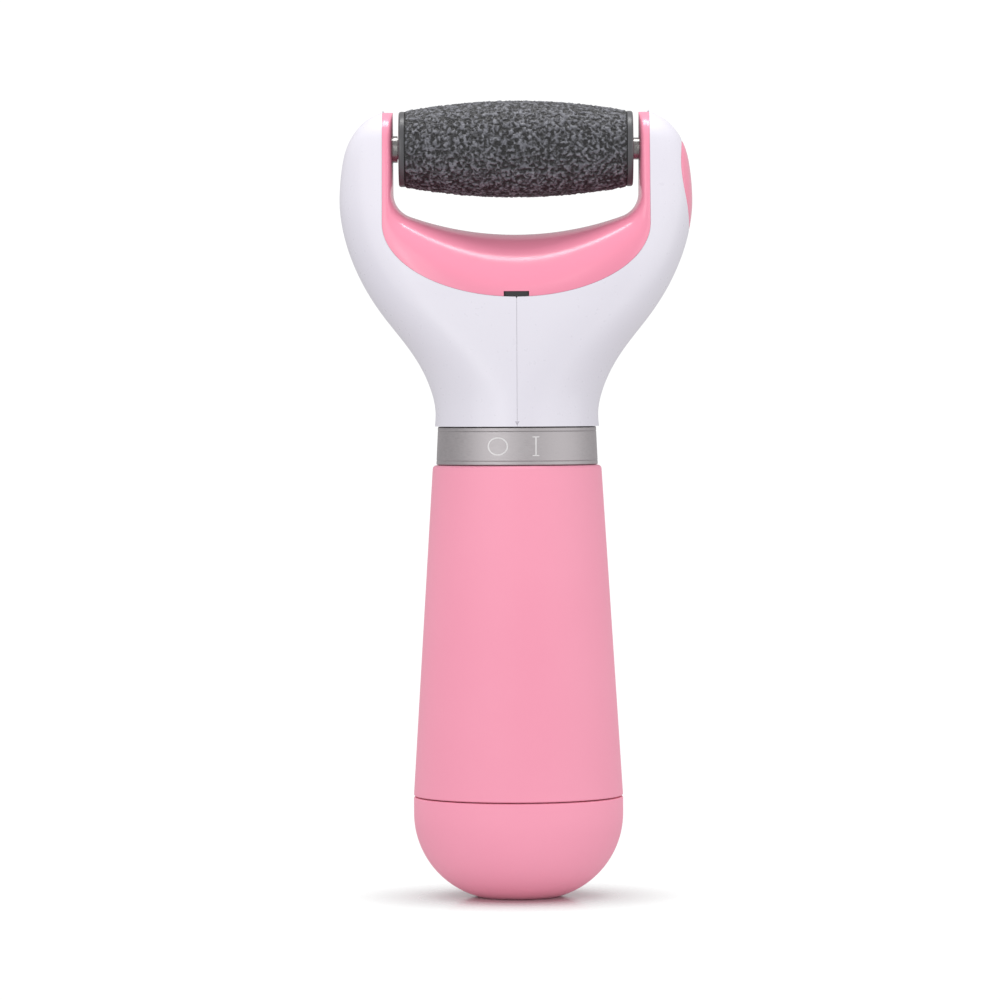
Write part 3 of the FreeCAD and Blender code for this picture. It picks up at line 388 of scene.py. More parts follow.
def matt_pink():
    """Soft-touch moulded plastic with an even, very fine spark-eroded grain."""
    look = Look("matt_pink")
    tone = look.mottle(22, 4, (0.905, 0.322, 0.450), (0.930, 0.345, 0.474))
    look.colour(look.mix(tone, (0.97, 0.42, 0.54), look.spread(look.noise(5200, 1), 0.0, 0.14, (0.55, 0.8))))
    look.roughness(look.spread(look.noise(900, 3), 0.50, 0.60))
    grain = look.bump(look.noise(4200, 2, 0.6), 0.00003, 0.35)
    look.bump(look.noise(60, 2), 0.00006, 0.25, grain)
    return look.set(Specular_IOR_Level=0.42, Sheen_Weight=0.08, Sheen_Roughness=0.6).material


def gloss_pink():
    """Polished moulded plastic, slightly deeper in colour."""
    look = Look("gloss_pink")
    look.colour(look.mottle(30, 3, (0.870, 0.275, 0.400), (0.900, 0.300, 0.425)))
    look.roughness(look.spread(look.noise(700, 3), 0.20, 0.27))
    look.bump(look.noise(240, 2), 0.00004, 0.22)
    return look.set(Specular_IOR_Level=0.5, Coat_Weight=0.25, Coat_Roughness=0.12).material


def white_plastic():
    """Satin white plastic with a cool cast and a faint moulded ripple."""
    look = Look("white_plastic")
    look.colour(look.mottle(18, 4, (0.735, 0.715, 0.790), (0.765, 0.748, 0.815)))
    look.roughness(look.spread(look.noise(800, 3), 0.27, 0.35))
    ripple = look.bump(look.noise(110, 2), 0.00005, 0.22)
    look.bump(look.noise(3600, 1), 0.000012, 0.3, ripple)
    return look.set(Specular_IOR_Level=0.5).material


def brushed_metal(name, colour, roughness, lines=(60, 60, 9000), depth=0.00002):
    """Turned metal with fine lines left by the tool; lines gives their scale along each axis."""
    look = Look(name)
    streaks = look.noise(1.0, 2, 0.6, look.stretched(lines))
    deep = tuple(0.82 * part for part in colour)
    look.colour(look.ramp(streaks, [(0.25, deep), (0.75, colour)]))
    look.roughness(look.spread(streaks, roughness - 0.06, roughness + 0.08))
    look.bump(streaks, depth, 0.4)
    return look.set(Metallic=1.0, Anisotropic=0.4).material


def grit_stone():
    """Bonded mineral grit, each grain with its own tone, with painted shade in the mesh's pits and painted
    light on its ridges.
    """
    look = Look("grit_stone")
    grains = look.ramp(look.attribute("grain"), [
        (0.0, (0.085, 0.086, 0.100)), (0.5, (0.120, 0.122, 0.138)), (1.0, (0.180, 0.183, 0.202))])
    # Painted shade and light: the grit's height darkens its pits to near black and lightens its ridges above
    # the grain's own tone.
    painted_relief_shading = look.ramp(look.attribute("height"), [
        (0.30, (0.04, 0.04, 0.04)), (0.52, (0.42, 0.42, 0.42)), (0.72, (1.1, 1.1, 1.12))])
    shaded = look.mix(grains, painted_relief_shading, 1.0, "MULTIPLY")
    specks = look.ramp(look.noise(5200, 2), [(0.62, (0.0, 0.0, 0.0)), (0.78, (0.10, 0.10, 0.105))])
    look.colour(look.mix(shaded, specks, 0.55, "ADD"))
    look.roughness(look.spread(look.noise(3800, 2), 0.34, 0.78))
    look.bump(look.noise(4600, 3, 0.7), 0.00009, 0.8)
    return look.set(Specular_IOR_Level=0.55).material


def moulded(name, colour, rough=0.5, grain=2600):
    """Plain moulded plastic for the smaller parts."""
    look = Look(name)
    light = tuple(min(part * 1.12 + 0.004, 1.0) for part in colour)
    look.colour(look.mottle(90, 4, colour, light))
    look.roughness(look.spread(look.noise(grain, 2), rough - 0.06, rough + 0.07))
    look.bump(look.noise(grain, 2), 0.00002, 0.3)
    return look.set(Specular_IOR_Level=0.45).material


def circuit_board():
    """Green lacquer over a net of pale tracks."""
    look = Look("circuit_board")
    tracks = look.cells(900, "DISTANCE_TO_EDGE")
    look.colour(look.ramp(tracks, [(0.04, (0.045, 0.20, 0.09)), (0.10, (0.015, 0.085, 0.035))]))
    look.roughness(look.spread(look.noise(1500, 2), 0.3, 0.45))
    look.bump(tracks, 0.00002, 0.4)
    return look.set(Coat_Weight=0.3, Coat_Roughness=0.2).material


LOOKS = {
    "pink_plastic": matt_pink(),
    "pink_gloss": gloss_pink(),
    "white_plastic": white_plastic(),
    "brushed_ring": brushed_metal("brushed_ring", (0.47, 0.445, 0.455), 0.52, (700, 700, 5200), 0.00004),
    "grit": grit_stone(),
    "roller_plastic": moulded("roller_rim_grey", (0.075, 0.075, 0.080), 0.34),
    "pin_steel": brushed_metal("pin_steel", (0.42, 0.41, 0.40), 0.28, (9000, 300, 300)),
    "spring_steel": brushed_metal("spring_steel", (0.62, 0.62, 0.63), 0.25, (400, 400, 400)),
    "gear_plastic": moulded("acetal", (0.72, 0.70, 0.64), 0.42),
    "brass": brushed_metal("turned_brass", (0.78, 0.55, 0.24), 0.30, (6000, 300, 300)),
    "motor_steel": brushed_metal("zinc_plate", (0.56, 0.57, 0.58), 0.35, (300, 1800, 1800)),
    "plate_steel": brushed_metal("stamped_steel", (0.50, 0.50, 0.51), 0.38, (900, 900, 900)),
    "dark_plastic": moulded("dark_plastic", (0.022, 0.022, 0.024), 0.5),
    "magnet": moulded("ferrite", (0.05, 0.05, 0.052), 0.6),
    "board": circuit_board(),
    "rubber": moulded("seal_rubber", (0.016, 0.016, 0.017), 0.7),
    "battery_can": brushed_metal("cell_sleeve", (0.30, 0.33, 0.38), 0.32, (700, 700, 90)),
}

for entry in frame["record"]["subparts"]:
    node = frame["nodes"][entry["node"]]
    node.data.materials.clear()
    node.data.materials.append(LOOKS[entry["material_slot"]])

# ---------------------------------------------------------------- head shape

# The head seen from the front: level and half width, from the neck to the tips of the arms.
HEAD_OUTLINE = np.array([
    (109.0, 19.00), (112.0, 18.83), (117.4, 19.90), (123.0, 22.40), (128.5, 26.10), (134.1, 30.50),
    (140.6, 34.80), (145.2, 37.10), (149.9, 38.90), (154.5, 40.10), (159.1, 40.76), (163.7, 40.75),
    (168.4, 40.30), (173.0, 39.30), (177.6, 36.80), (180.1, 34.10), (181.4, 31.60), (181.75, 30.80),
]) * MM
OUTLINE = spline_through(HEAD_OUTLINE, 900)
ARM_TIP = 8.7 * MM
ARM_TAPER = math.radians(14.0)
FORK_DROP = 17.0 * MM
FORK_LEVEL = FORK_BOTTOM + FORK_DROP
CROTCH_DEPTH = 17.54 * MM
NECK_DEPTH = 19.0 * MM
LINER_WALL = 2.4 * MM
SADDLE_LEVEL = 153.3 * MM
SADDLE_RADIUS = 74.0 * MM
SADDLE_CORNER = 4.0 * MM
LINER_TOP = OUTLINE[-1, 0] - 0.2 * MM
SEAM_ROOM = 0.025 * MM
SHELL_WALL = 1.5 * MM
SHELL_RIM = 0.16 * MM
NECK_BEND = 1.2 * MM


def half_width(level):
    """Half width of the head seen from the front."""
    return np.interp(level, OUTLINE[:, 0], OUTLINE[:, 1])


def arm_depth(level):
    """Half depth of the head: neck, straight taper, then a round tip about the roller axis."""
    level = np.asarray(level, float)
    tangent = ROLLER_LEVEL + ARM_TIP * math.sin(ARM_TAPER)
    tip = np.sqrt(np.clip(ARM_TIP ** 2 - (level - ROLLER_LEVEL) ** 2, 0, None))
    taper = ARM_TIP / math.cos(ARM_TAPER) + (ROLLER_LEVEL - level) * math.tan(ARM_TAPER)
    share = np.clip((FORK_BOTTOM - level) / (FORK_BOTTOM - HEAD_BOTTOM), 0, 1)
    neck = CROTCH_DEPTH + (NECK_DEPTH - CROTCH_DEPTH) * share
    # the neck and the taper meet in a soft bend instead of a crease
    soft = -NECK_BEND * np.logaddexp(-neck / NECK_BEND, -taper / NECK_BEND)
    return np.where(level >= tangent, tip, soft)


def squareness(level):
    """Power of the section's superellipse: round at the neck, 2, and nearly a box at the arms, 7."""
    share = np.clip((np.asarray(level) / MM - 113.0) / 37.0, 0, 1)
    return 2.0 + 5.0 * share * share * (3 - 2 * share)


def depth_at(across, level):
    """Half depth of the head's surface at a place seen from the front."""
    share = np.clip(np.abs(across) / np.maximum(half_width(level), 1e-6), 0, 1)
    return arm_depth(level) * np.sqrt(np.clip(1 - share ** squareness(level), 0, 1))


def width_at(along, level):
    """Half width of the head's surface at a place seen from the side."""
    share = np.clip(np.abs(along) / np.maximum(arm_depth(level), 1e-6), 0, 1)
    return half_width(level) * (1 - share ** 2) ** (1 / squareness(level))


def along_line(line, share):
    """Points at shares of a line's length."""
    lengths = np.concatenate([[0], np.cumsum(np.linalg.norm(np.diff(line, axis=0), axis=1))])
    lengths /= lengths[-1]
    return np.stack([np.interp(share, lengths, line[:, axis]) for axis in range(2)], axis=1)


def fork_curve(room=0.0):
    """The fork opening's right half as (across, level), from its bottom to the arm's tip."""
    angles = np.linspace(0, math.pi / 2, 160)
    half, drop = FORK_HALF + room, FORK_DROP + room
    bowl = np.stack([half * np.sin(angles), FORK_LEVEL - drop * np.cos(angles)], axis=1)
    return np.vstack([bowl, [(half, OUTLINE[-1, 0])]])


def head_grid(side):
    """Outer points of one half: rows run from the inner line to the silhouette and back."""
    rows, columns = 210, 121
    inner_line = np.vstack([[(SEAM_ROOM, HEAD_BOTTOM), (SEAM_ROOM, FORK_BOTTOM)], fork_curve(SEAM_ROOM)[1:]])
    outer_line = OUTLINE[:, ::-1]
    share = crowded(rows)
    inner = along_line(inner_line, share)
    # where the inner line reaches the fork and its side, the rows meet the silhouette at its waist and flank
    outer = along_line(outer_line, np.interp(share, (0, 0.315, 0.72, 1), (0, 0.25, 0.62, 1)))
    sweep = np.linspace(-1, 1, columns)
    reach = np.cos(sweep * math.pi / 2)[None, :, None]
    flat = inner[:, None, :] * (1 - reach) + outer[:, None, :] * reach
    depth = depth_at(flat[..., 0], flat[..., 1]) * np.sign(sweep)[None, :]
    return np.stack([flat[..., 0] * side, depth, flat[..., 1]], axis=-1)


def make_head():
    """The two white shells, the right one with a window for the button."""
    for name, side in (("head_half_left", -1), ("head_half_right", 1)):
        points = head_grid(side)
        room = np.minimum(arm_depth(points[..., 2]), half_width(points[..., 2]) - FORK_HALF * 0.6)
        thickness = np.clip(room * 0.35, 0.0, SHELL_WALL)
        node = name.replace("half", "shell")
        piece = shell_from_grid(name, points, thickness, SHELL_RIM, LOOKS["white_plastic"], "housing",
                                (node,), lambda at, normal: at[0] * normal[0])
        if side > 0:
            carve(piece, window_cutter())
        keep_creases(piece)


# ---------------------------------------------------------------- release button

BUTTON_LEVEL = 164.5 * MM
BUTTON_HALF_HEIGHT = 10.6 * MM
BUTTON_HALF_WIDTH = 6.0 * MM
BUTTON_ROOM = 0.2 * MM
BUTTON_SUNK = 0.03 * MM
BUTTON_STEPS = 160
WINDOW_REACH = 5.0 * MM


def window_cutter():
    """An oval plug a little larger than the button that passes right through the flank's wall."""
    angles = full_turn(BUTTON_STEPS)
    along = (BUTTON_HALF_WIDTH + BUTTON_ROOM) * np.cos(angles)
    level = BUTTON_LEVEL + (BUTTON_HALF_HEIGHT + BUTTON_ROOM) * np.sin(angles)
    flank = width_at(along, level)
    rings = [np.stack([flank + reach, along, level], axis=1) for reach in (-WINDOW_REACH, WINDOW_REACH)]
    return loft_object("button_window", rings)


def make_button():
    """The oval release button: level with the flank, with a soft edge and a short skirt."""
    angles = full_turn(BUTTON_STEPS)
    face = np.linspace(0.02, 0.9, 22)
    shares = np.concatenate([face, [0.93, 0.955, 0.975, 0.99, 1.0, 1.0, 1.0]])
    drops = np.concatenate([np.zeros(len(face)), [0.01, 0.04, 0.10, 0.20, 0.36, 1.2, 2.2]]) * MM
    rings = []
    for share, drop in zip(shares, drops):
        along = BUTTON_HALF_WIDTH * share * np.cos(angles)
        level = BUTTON_LEVEL + BUTTON_HALF_HEIGHT * share * np.sin(angles)
        rings.append(np.stack([width_at(along, level) - drop - BUTTON_SUNK, along, level], axis=1))
    plug = loft_object("release_pad", rings)
    finish_piece(plug, LOOKS["pink_gloss"], "release_button", ("release_button",))
    keep_creases(plug, 50)


# ---------------------------------------------------------------- cradle lining

LINER_RIM = 0.10 * MM
LINER_SUNK = 0.06 * MM
# Shares of the outer line and of the ridge at which both are in the corner of the saddle.
CORNER_SHARE, CORNER_RIDGE_SHARE = 0.60, 0.585
# Power of the section's superellipse: at the middle, and what is added by the corner.
SADDLE_POWER, SADDLE_POWER_GAIN = 1.75, 1.75
SLOT_SIDES = (-2.95 * MM, 2.85 * MM)
SLOT_DEPTHS = (-22 * MM, -15.2 * MM)
SLOT_HEIGHT = 1.25 * MM


def ridge_line(count=200):
    """The saddle's ridge, right half, from the middle past the corner to the arm's tip."""
    inner = FORK_HALF - LINER_WALL
    edge = inner - SADDLE_CORNER
    across = np.linspace(0, edge, count)
    level = SADDLE_LEVEL + SADDLE_RADIUS - np.sqrt(SADDLE_RADIUS ** 2 - across ** 2)
    slope = math.asin(edge / SADDLE_RADIUS)
    turns = np.linspace(slope, math.pi / 2, 40)[1:]
    lift = SADDLE_CORNER / (1 - math.sin(slope))
    corner_across = edge + lift * (np.sin(turns) - math.sin(slope))
    corner_level = level[-1] + lift * (math.cos(slope) - np.cos(turns))
    line = np.stack([np.concatenate([across, corner_across]), np.concatenate([level, corner_level])], axis=1)
    return np.vstack([line, [(inner, LINER_TOP)]])


def liner_grid():
    """Outer points of the lining, from the left tip down round the saddle to the right tip."""
    rows, columns = 221, 65
    share = crowded(rows)
    fork = fork_curve(-SEAM_ROOM)
    fork = fork[fork[:, 1] <= LINER_TOP]
    fork = np.vstack([fork, [(FORK_HALF - SEAM_ROOM, LINER_TOP)]])
    outer = along_line(fork, share)
    inner = along_line(ridge_line(), np.interp(share, (0, CORNER_SHARE, 1), (0, CORNER_RIDGE_SHARE, 1)))
    power = SADDLE_POWER + SADDLE_POWER_GAIN * np.clip(share / CORNER_SHARE, 0, 1) ** 2
    swing = np.sin(np.linspace(-1, 1, columns) * math.pi / 2)
    rise = (1 - np.abs(swing)[None, :] ** power[:, None]).clip(0, 1) ** (1 / power[:, None])
    flat = outer[:, None, :] + (inner - outer)[:, None, :] * rise[..., None]
    depth = (depth_at(outer[:, 0], outer[:, 1]) - LINER_SUNK).clip(0.02 * MM, None)
    right = np.stack([flat[..., 0], depth[:, None] * swing[None, :], flat[..., 1]], axis=-1)
    left = right[:0:-1] * np.array([-1, 1, 1])
    return np.vstack([left, right])


def make_liner():
    """The glossy lining, with a slot at its lowest point that shows the catch."""
    points = liner_grid()
    room = np.minimum(np.abs(points[:, :, 1]).max(axis=1), 3.0 * MM)
    thickness = np.repeat(np.clip(room * 0.4, 0.0, 1.1 * MM)[:, None], points.shape[1], axis=1)
    piece = shell_from_grid("cradle_lining", points, thickness, LINER_RIM, LOOKS["pink_gloss"], "housing",
                            ("cradle_liner",), lambda at, normal: normal[2])
    low, high = FORK_BOTTOM - 1 * MM, FORK_BOTTOM + SLOT_HEIGHT
    left, right = SLOT_SIDES
    rings = [[(left, y, low), (right, y, low), (right, y, high), (left, y, high)] for y in SLOT_DEPTHS]
    carve(piece, loft_object("catch_slot", rings))


# ---------------------------------------------------------------- roller


GRIT_AROUND, GRIT_ALONG = 620, 460
GRIT_LIFT = 0.42 * MM
GRIT_END = 0.5 * MM
SLEEVE_WALL = 1.2 * MM
# The tube's end faces take this value as grain tone and as height; as a height it gives them the dark pit end
# of the painted shade.
END_TONE_AND_SHADE = 0.2
RIM_HOLES = {"left": 2.35 * MM, "right": 2.62 * MM}
RIM_DISH = 0.35 * MM
RIM_INSIDE, RIM_BOSS_INSIDE = 22.0 * MM, 22.6 * MM


def grain_field(spot):
    """Height of the grit at a point, 0 to 1, and the tone of its grain.

    Wrinkled ridges about a millimetre apart are broken up by finer ones and by single grains.
    """
    warped = spot + noise.noise_vector(spot * 900) * 0.00035
    wrinkle = noise.noise(warped * 1250)
    finer = noise.noise(warped * 2600 + Vector((3.1, 0.7, 1.9)))
    spaced, seeds = noise.voronoi(spot * 1500, distance_metric="DISTANCE")
    grain = min((spaced[1] - spaced[0]) / 0.5, 1.0)
    height = 0.42 + 0.62 * wrinkle + 0.30 * finer + 0.16 * grain
    return min(max(height, 0.0), 1.0), abs(noise.cell(seeds[0] * 7.31))


def make_grit():
    """The abrasive barrel: a turned skin whose points are lifted by the grit, closed to a tube."""
    around, lengthwise = GRIT_AROUND, GRIT_ALONG
    rays = [Vector((0, math.cos(angle), math.sin(angle)))
            for angle in (2 * math.pi * step / around for step in range(around))]
    sag = ROLLER_RADIUS - RIM_RADIUS - 0.2 * MM
    arc = (SLEEVE_HALF ** 2 + sag ** 2) / (2 * sag)
    verts, height, tone = [], [], []
    for row in range(lengthwise + 1):
        across = SLEEVE_HALF * (2 * row / lengthwise - 1)
        barrel = ROLLER_RADIUS - GRIT_LIFT * 0.9 - (arc - math.sqrt(arc ** 2 - across ** 2))
        end = min((SLEEVE_HALF - abs(across)) / GRIT_END, 1.0)
        for ray in rays:
            spot = ray * barrel + Vector((across, 0, 0))
            grit, shade = grain_field(spot)
            grit *= 0.25 + 0.75 * end
            point = spot + ray * grit * GRIT_LIFT
            verts.append((point.x, point.y, point.z + ROLLER_LEVEL))
            height.append(grit)
            tone.append(shade)
    faces = grid_faces(lengthwise + 1, around, False, True)
    first = len(verts)
    second = first + around
    inner_radius = RIM_RADIUS - SLEEVE_WALL
    for across in (-SLEEVE_HALF, SLEEVE_HALF):
        for ray in rays:
            verts.append((across, inner_radius * ray.y, ROLLER_LEVEL + inner_radius * ray.z))
            height.append(END_TONE_AND_SHADE)
            tone.append(END_TONE_AND_SHADE)
    last_row = lengthwise * around
    for step in range(around):
        following = (step + 1) % around
        faces.append((step, first + step, first + following, following))
        faces.append((last_row + step, last_row + following, second + following, second + step))
        faces.append((first + step, second + step, second + following, first + following))
    piece = new_piece("grit_barrel", verts, faces, LOOKS["grit"], "roller", ("abrasive_sleeve",))
    # The height also feeds the painted pit shade and ridge light of grit_stone.
    for name, values in (("height", height), ("grain", tone)):
        layer = piece.data.attributes.new(name, "FLOAT", "POINT")
        layer.data.foreach_set("value", np.array(values, np.float32))
    face_outwards(piece.data)


def make_roller_rims():
    """The smooth end caps of the roller, each a turned dish with a hole for its pin."""
    dish, seat = ROLLER_HALF - RIM_DISH, SLEEVE_HALF + 0.02 * MM
    for name, side in (("left", -1), ("right", 1)):
        hole = RIM_HOLES[name]
        corners = [
            (hole, RIM_BOSS_INSIDE, 0), (hole, ROLLER_HALF, 0.25 * MM), (4.6 * MM, ROLLER_HALF, 0.2 * MM),
            (5.0 * MM, dish, 0.15 * MM), (7.2 * MM, dish, 0.15 * MM), (7.5 * MM, ROLLER_HALF, 0.2 * MM),
            (RIM_RADIUS, ROLLER_HALF, 0.55 * MM), (RIM_RADIUS, seat, 0.1 * MM), (7.5 * MM, seat, 0.05 * MM),
            (7.5 * MM, RIM_INSIDE, 0.1 * MM), (4.2 * MM, RIM_INSIDE, 0.1 * MM),
            (4.2 * MM, RIM_BOSS_INSIDE, 0),
        ]
        outline = [(radius, side * along) for radius, along in rounded(corners)]
        turned(f"roller_rim_{name}", outline, LOOKS["roller_plastic"], "roller",
               (f"roller_cap_{name}",), "X", ROLLER_LEVEL, 128)


# ---------------------------------------------------------------- handle, cap and ring

HANDLE_TOP_RADIUS = 19.5 * MM
CORNER_RADIUS = 20.0 * MM
CORNER_OFFSET = CAP_RADIUS - CORNER_RADIUS
CORNER_LEVEL = 19.4 * MM
CAP_WALL = 2.6 * MM
POST_RADIUS, POST_TOP = 4.0 * MM, 14.5 * MM
SEAM_GAP = 0.28 * MM
SPIGOT_RADIUS = 21.55 * MM
BORE_RADIUS, NECK_BORE_RADIUS, COLLAR_BORE_RADIUS = 19.6 * MM, 17.9 * MM, 16.6 * MM
GROOVE_LEVELS, GROOVE_DEPTH = (18.5 * MM, 19.6 * MM), 0.9 * MM
RING_BORE = 16.38 * MM


def arc_points(centre, radius, start, end, count):
    """Points of an arc from one angle to another, in degrees."""
    angles = np.radians(np.linspace(start, end, count))
    return [(centre[0] + radius * math.cos(a), centre[1] + radius * math.sin(a)) for a in angles]


def make_cap():
    """The rounded battery cap: flat foot, round shoulder, and the hollow seen once it is off."""
    centre = (CORNER_OFFSET, CORNER_LEVEL)
    foot = -math.degrees(math.asin(CORNER_LEVEL / CORNER_RADIUS))
    inner_radius = CORNER_RADIUS - CAP_WALL
    inner_foot = -math.degrees(math.asin((CORNER_LEVEL - CAP_WALL) / inner_radius))
    inner_wall = CAP_RADIUS - CAP_WALL
    outline = [(0.0, 0.15 * MM), (7.4 * MM, 0.15 * MM), (7.9 * MM, 0.0)]
    outline += arc_points(centre, CORNER_RADIUS, foot, 0, 60)
    outline += rounded([(CAP_RADIUS, CORNER_LEVEL + 0.5 * MM, 0), (CAP_RADIUS, CAP_TOP, 0.35 * MM),
                        (inner_wall, CAP_TOP, 0.25 * MM), (inner_wall, CORNER_LEVEL, 0)]).tolist()
    outline += arc_points(centre, inner_radius, 0, inner_foot, 24)
    outline += [(POST_RADIUS, CAP_WALL), (POST_RADIUS, POST_TOP), (0.0, POST_TOP)]
    turned("foot_cap", outline, LOOKS["pink_plastic"], "battery_cap", ("bottom_cap",),
           closed=False)


def make_grip():
    """The tapered handle with its spigot, seal groove and soft upper edge."""
    slope = (CAP_RADIUS - HANDLE_TOP_RADIUS) / (HANDLE_TOP - CAP_TOP)
    rim = HANDLE_TOP_RADIUS + 0.1 * MM * slope
    seam = CAP_TOP + SEAM_GAP
    groove = SPIGOT_RADIUS - GROOVE_DEPTH
    groove_low, groove_high = GROOVE_LEVELS
    corners = [
        (BORE_RADIUS, 60 * MM, 0), (BORE_RADIUS, SPIGOT_BOTTOM, 0.4 * MM),
        (SPIGOT_RADIUS - 0.85 * MM, SPIGOT_BOTTOM, 0.4 * MM), (SPIGOT_RADIUS, 18.2 * MM, 0.3 * MM),
        (SPIGOT_RADIUS, groove_low, 0), (groove, groove_low, 0), (groove, groove_high, 0),
        (SPIGOT_RADIUS, groove_high, 0), (SPIGOT_RADIUS, seam, 0.1 * MM), (CAP_RADIUS, seam, 0.35 * MM),
        (rim, HANDLE_TOP, 0.9 * MM), (COLLAR_BORE_RADIUS, HANDLE_TOP, 0.2 * MM),
        (COLLAR_BORE_RADIUS, 94.0 * MM, 0), (NECK_BORE_RADIUS, 94.0 * MM, 0),
        (NECK_BORE_RADIUS, 92.5 * MM, 0), (BORE_RADIUS, 66 * MM, 0),
    ]
    turned("grip", rounded(corners), LOOKS["pink_plastic"], "housing", ("handle_shell",))


def ring_radius(level):
    """Outer radius of the switch ring, which narrows a little towards its top."""
    share = (level - RING_LOW.z) / (RING_HIGH.z - RING_LOW.z)
    return RING_HIGH.x - 0.4 * MM * share


def make_ring():
    """The brushed switch ring, with a fine groove near each edge."""
    low, high = RING_LOW.z, RING_HIGH.z
    inset, depth, slope = 1.0 * MM, 0.09 * MM, 0.12 * MM
    corners = [(RING_BORE, low, 0), (ring_radius(low), low, 0.3 * MM)]
    for level in (low + inset, high - inset):
        radius = ring_radius(level)
        corners += [(radius, level - slope, 0.03 * MM), (radius - depth, level, 0.05 * MM),
                    (radius, level + slope, 0.03 * MM)]
    corners += [(ring_radius(high), high, 0.3 * MM), (RING_BORE, high, 0)]
    turned("selector_ring", rounded(corners), LOOKS["brushed_ring"], "switch_ring",
           ("switch_ring",), segments=256)


def on_ring(across, level, lift):
    """A point of the ring's front face, unrolled: across runs round it, lift stands off it."""
    radius = ring_radius(level)
    angle = across / radius
    return (radius + lift) * math.sin(angle), -(radius + lift) * math.cos(angle), level


def raised_mark(name, loops, look):
    """A thin printed mark on the ring between an outer and an inner loop, or filled."""
    lift, root = 0.035 * MM, -0.02 * MM
    outer, inner = loops
    verts = []
    for loop, height in ((outer, root), (outer, lift), (inner, lift), (inner, root)):
        verts += [on_ring(across, level, height) for across, level in loop]
    mesh = bpy.data.meshes.new(name)
    mesh.from_pydata(verts, [], grid_faces(4, len(outer), True, True))
    face_outwards(mesh)
    piece = finish_piece(bpy.data.objects.new(name, mesh), look, "switch_ring")
    keep_creases(piece)


def make_marks():
    """A round off mark and an upright on mark, printed in pale ink."""
    ink = moulded("mark_ink", (0.66, 0.65, 0.65), 0.5)
    middle = (RING_LOW.z + RING_HIGH.z) / 2
    off_centre, on_centre = -4.5 * MM, 4.3 * MM
    loops = [[(off_centre + radius * 1.1 * math.cos(a), middle + radius * 0.95 * math.sin(a))
              for a in full_turn(72)] for radius in (2.2 * MM, 1.88 * MM)]
    raised_mark("mark_off", loops, ink)
    bar, foot, tall, serif = 0.17 * MM, 0.8 * MM, 2.25 * MM, 0.22 * MM
    half = [(foot, tall), (foot, tall - serif), (bar, tall - serif),
            (bar, -tall + serif), (foot, -tall + serif), (foot, -tall)]
    outline = half + [(-x, z) for x, z in reversed(half)]
    outer = [(on_centre + x, middle + z) for x, z in outline]
    core = [(on_centre + x * 0.02, middle + z * 0.98) for x, z in outline]
    raised_mark("mark_on", [outer, core], ink)


def make_pointer():
    """A tiny sunk triangle at the lower edge of the head that points at the ring's marks, its grey a painted
    shade: the white plastic's tone darkened.
    """
    # Painted shade: the white plastic's lilac grey darkened to about three fifths, in place of the shade
    # inside the sunk mark.
    look = moulded("pointer_painted_shade", (0.46, 0.44, 0.50), 0.5)
    half, low, high = 0.5 * MM, HEAD_BOTTOM + 0.35 * MM, HEAD_BOTTOM + 1.2 * MM
    verts = []
    for lift in (-0.1 * MM, 0.02 * MM):
        for across, level in ((0.0, low), (half, high), (-half, high)):
            verts.append((across, -float(depth_at(across, level)) - lift, level))
    faces = [(0, 2, 1), (3, 4, 5), (0, 1, 4, 3), (1, 2, 5, 4), (2, 0, 3, 5)]
    new_piece("pointer", verts, faces, look, "housing")


# ---------------------------------------------------------------- stage, lights, camera

# The floor is whole up to the first radius and gone at the second.
FLOOR_FADE = (0.015, 0.040)
# Name, place, width and height, watts. All of them aim at the middle of the object.
SOFTBOXES = [
    ("key", (-0.70, -1.05, 0.36), (1.4, 1.2), 6.5),
    ("fill", (1.25, -0.60, 0.22), (1.8, 1.2), 6.9),
    ("strip", (-0.42, -1.0, 0.15), (0.14, 0.9), 0.8),
    ("overhead", (0.0, 0.06, 1.0), (0.8, 0.26), 6.0),
]
LIGHTS_AIM = (0, 0, 0.10)
SKY_STRENGTH = 0.60
BACKGROUND_STRENGTH = 1.05


def make_stage():
    """A pale glossy table top that fades out into the white surroundings."""
    look = Look("studio_floor")
    look.colour(look.mottle(3, 3, (0.70, 0.69, 0.69), (0.73, 0.72, 0.72)))
    look.set(Roughness=0.16, Specular_IOR_Level=0.5)
    reach = look.nodes.new("ShaderNodeVectorMath")
    reach.operation = "LENGTH"
    look.links.new(look.place, reach.inputs[0])
    clear = look.nodes.new("ShaderNodeBsdfTransparent")
    blend = look.nodes.new("ShaderNodeMixShader")
    look.links.new(look.spread(reach.outputs["Value"], 0.0, 1.0, FLOOR_FADE), blend.inputs["Fac"])
    look.links.new(look.shader.outputs["BSDF"], blend.inputs[1])
    look.links.new(clear.outputs["BSDF"], blend.inputs[2])
    look.links.new(blend.outputs["Shader"], look.nodes["Material Output"].inputs["Surface"])
    rim = [(FLOOR_FADE[1] * math.cos(a), FLOOR_FADE[1] * math.sin(a), 0) for a in full_turn(96)]
    mesh = bpy.data.meshes.new("studio_floor")
    mesh.from_pydata(rim, [], [tuple(range(len(rim)))])
    floor = bpy.data.objects.new("studio_floor", mesh)
    bpy.context.scene.collection.objects.link(floor)
    floor.data.materials.append(look.material)


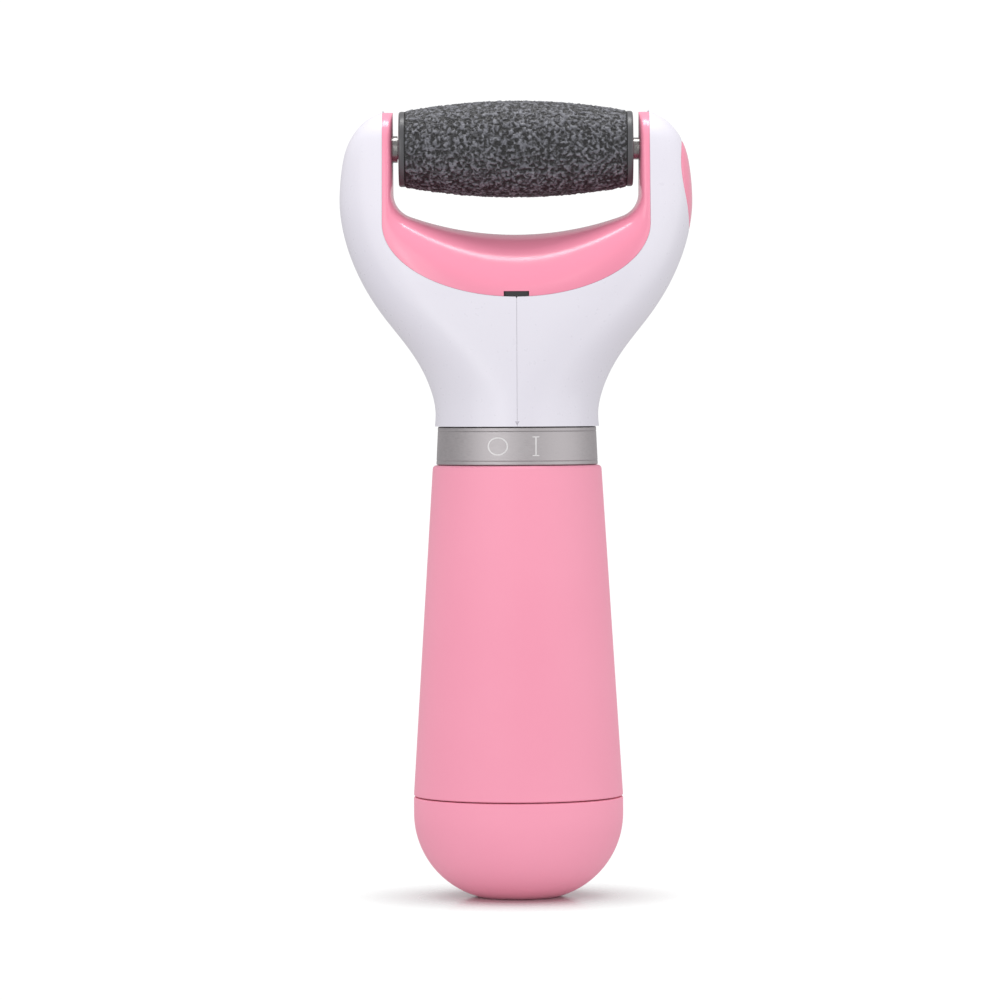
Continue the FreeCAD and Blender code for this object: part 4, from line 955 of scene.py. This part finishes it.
def softbox(name, at, size, power):
    """A rectangular area light."""
    light = bpy.data.lights.new(name, "AREA")
    light.shape = "RECTANGLE"
    light.size, light.size_y = size
    light.energy = power
    lamp = bpy.data.objects.new(name, light)
    lamp.location = at
    lamp.rotation_mode = "QUATERNION"
    lamp.rotation_quaternion = (Vector(LIGHTS_AIM) - Vector(at)).to_track_quat("-Z", "Y")
    bpy.context.scene.collection.objects.link(lamp)


def make_lights():
    """A white room: an even sky, broad boxes at both sides, a strip for the metal and a box overhead."""
    scene = bpy.context.scene
    scene.world = scene.world or bpy.data.worlds.new("studio")
    scene.world.use_nodes = True
    tree = scene.world.node_tree
    tree.nodes.clear()
    sky = tree.nodes.new("ShaderNodeBackground")
    sky.inputs["Color"].default_value = (1.0, 0.99, 1.0, 1.0)
    sky.inputs["Strength"].default_value = SKY_STRENGTH
    white = tree.nodes.new("ShaderNodeBackground")
    white.inputs["Color"].default_value = (1.0, 1.0, 1.0, 1.0)
    white.inputs["Strength"].default_value = BACKGROUND_STRENGTH
    rays = tree.nodes.new("ShaderNodeLightPath")
    choice = tree.nodes.new("ShaderNodeMixShader")
    out = tree.nodes.new("ShaderNodeOutputWorld")
    tree.links.new(rays.outputs["Is Camera Ray"], choice.inputs["Fac"])
    tree.links.new(sky.outputs["Background"], choice.inputs[1])
    tree.links.new(white.outputs["Background"], choice.inputs[2])
    tree.links.new(choice.outputs["Shader"], out.inputs["Surface"])
    for box in SOFTBOXES:
        softbox(*box)


def make_camera():
    """Almost level with the handle's middle, far away, turned a hair for the object's lean."""
    distance, view_width = 1.225, 0.2316
    aim = Vector((-4.0 * MM, 0.0, 91.9 * MM))
    data = bpy.data.cameras.new("camera")
    data.sensor_width = 36.0
    data.lens = data.sensor_width * distance / view_width
    data.clip_start, data.clip_end = 0.05, 20.0
    camera = bpy.data.objects.new("camera", data)
    camera.location = (aim.x, -distance, 117.0 * MM)
    towards = (aim - camera.location).to_track_quat("-Z", "Y")
    camera.rotation_mode = "QUATERNION"
    camera.rotation_quaternion = towards @ Matrix.Rotation(math.radians(-0.25), 4, "Z").to_quaternion()
    bpy.context.scene.collection.objects.link(camera)
    bpy.context.scene.camera = camera
    bpy.context.scene.view_settings.view_transform = "Standard"


make_head()
make_button()
make_liner()
make_grit()
make_roller_rims()
make_cap()
make_grip()
make_ring()
make_marks()
make_pointer()
make_stage()
make_lights()
make_camera()
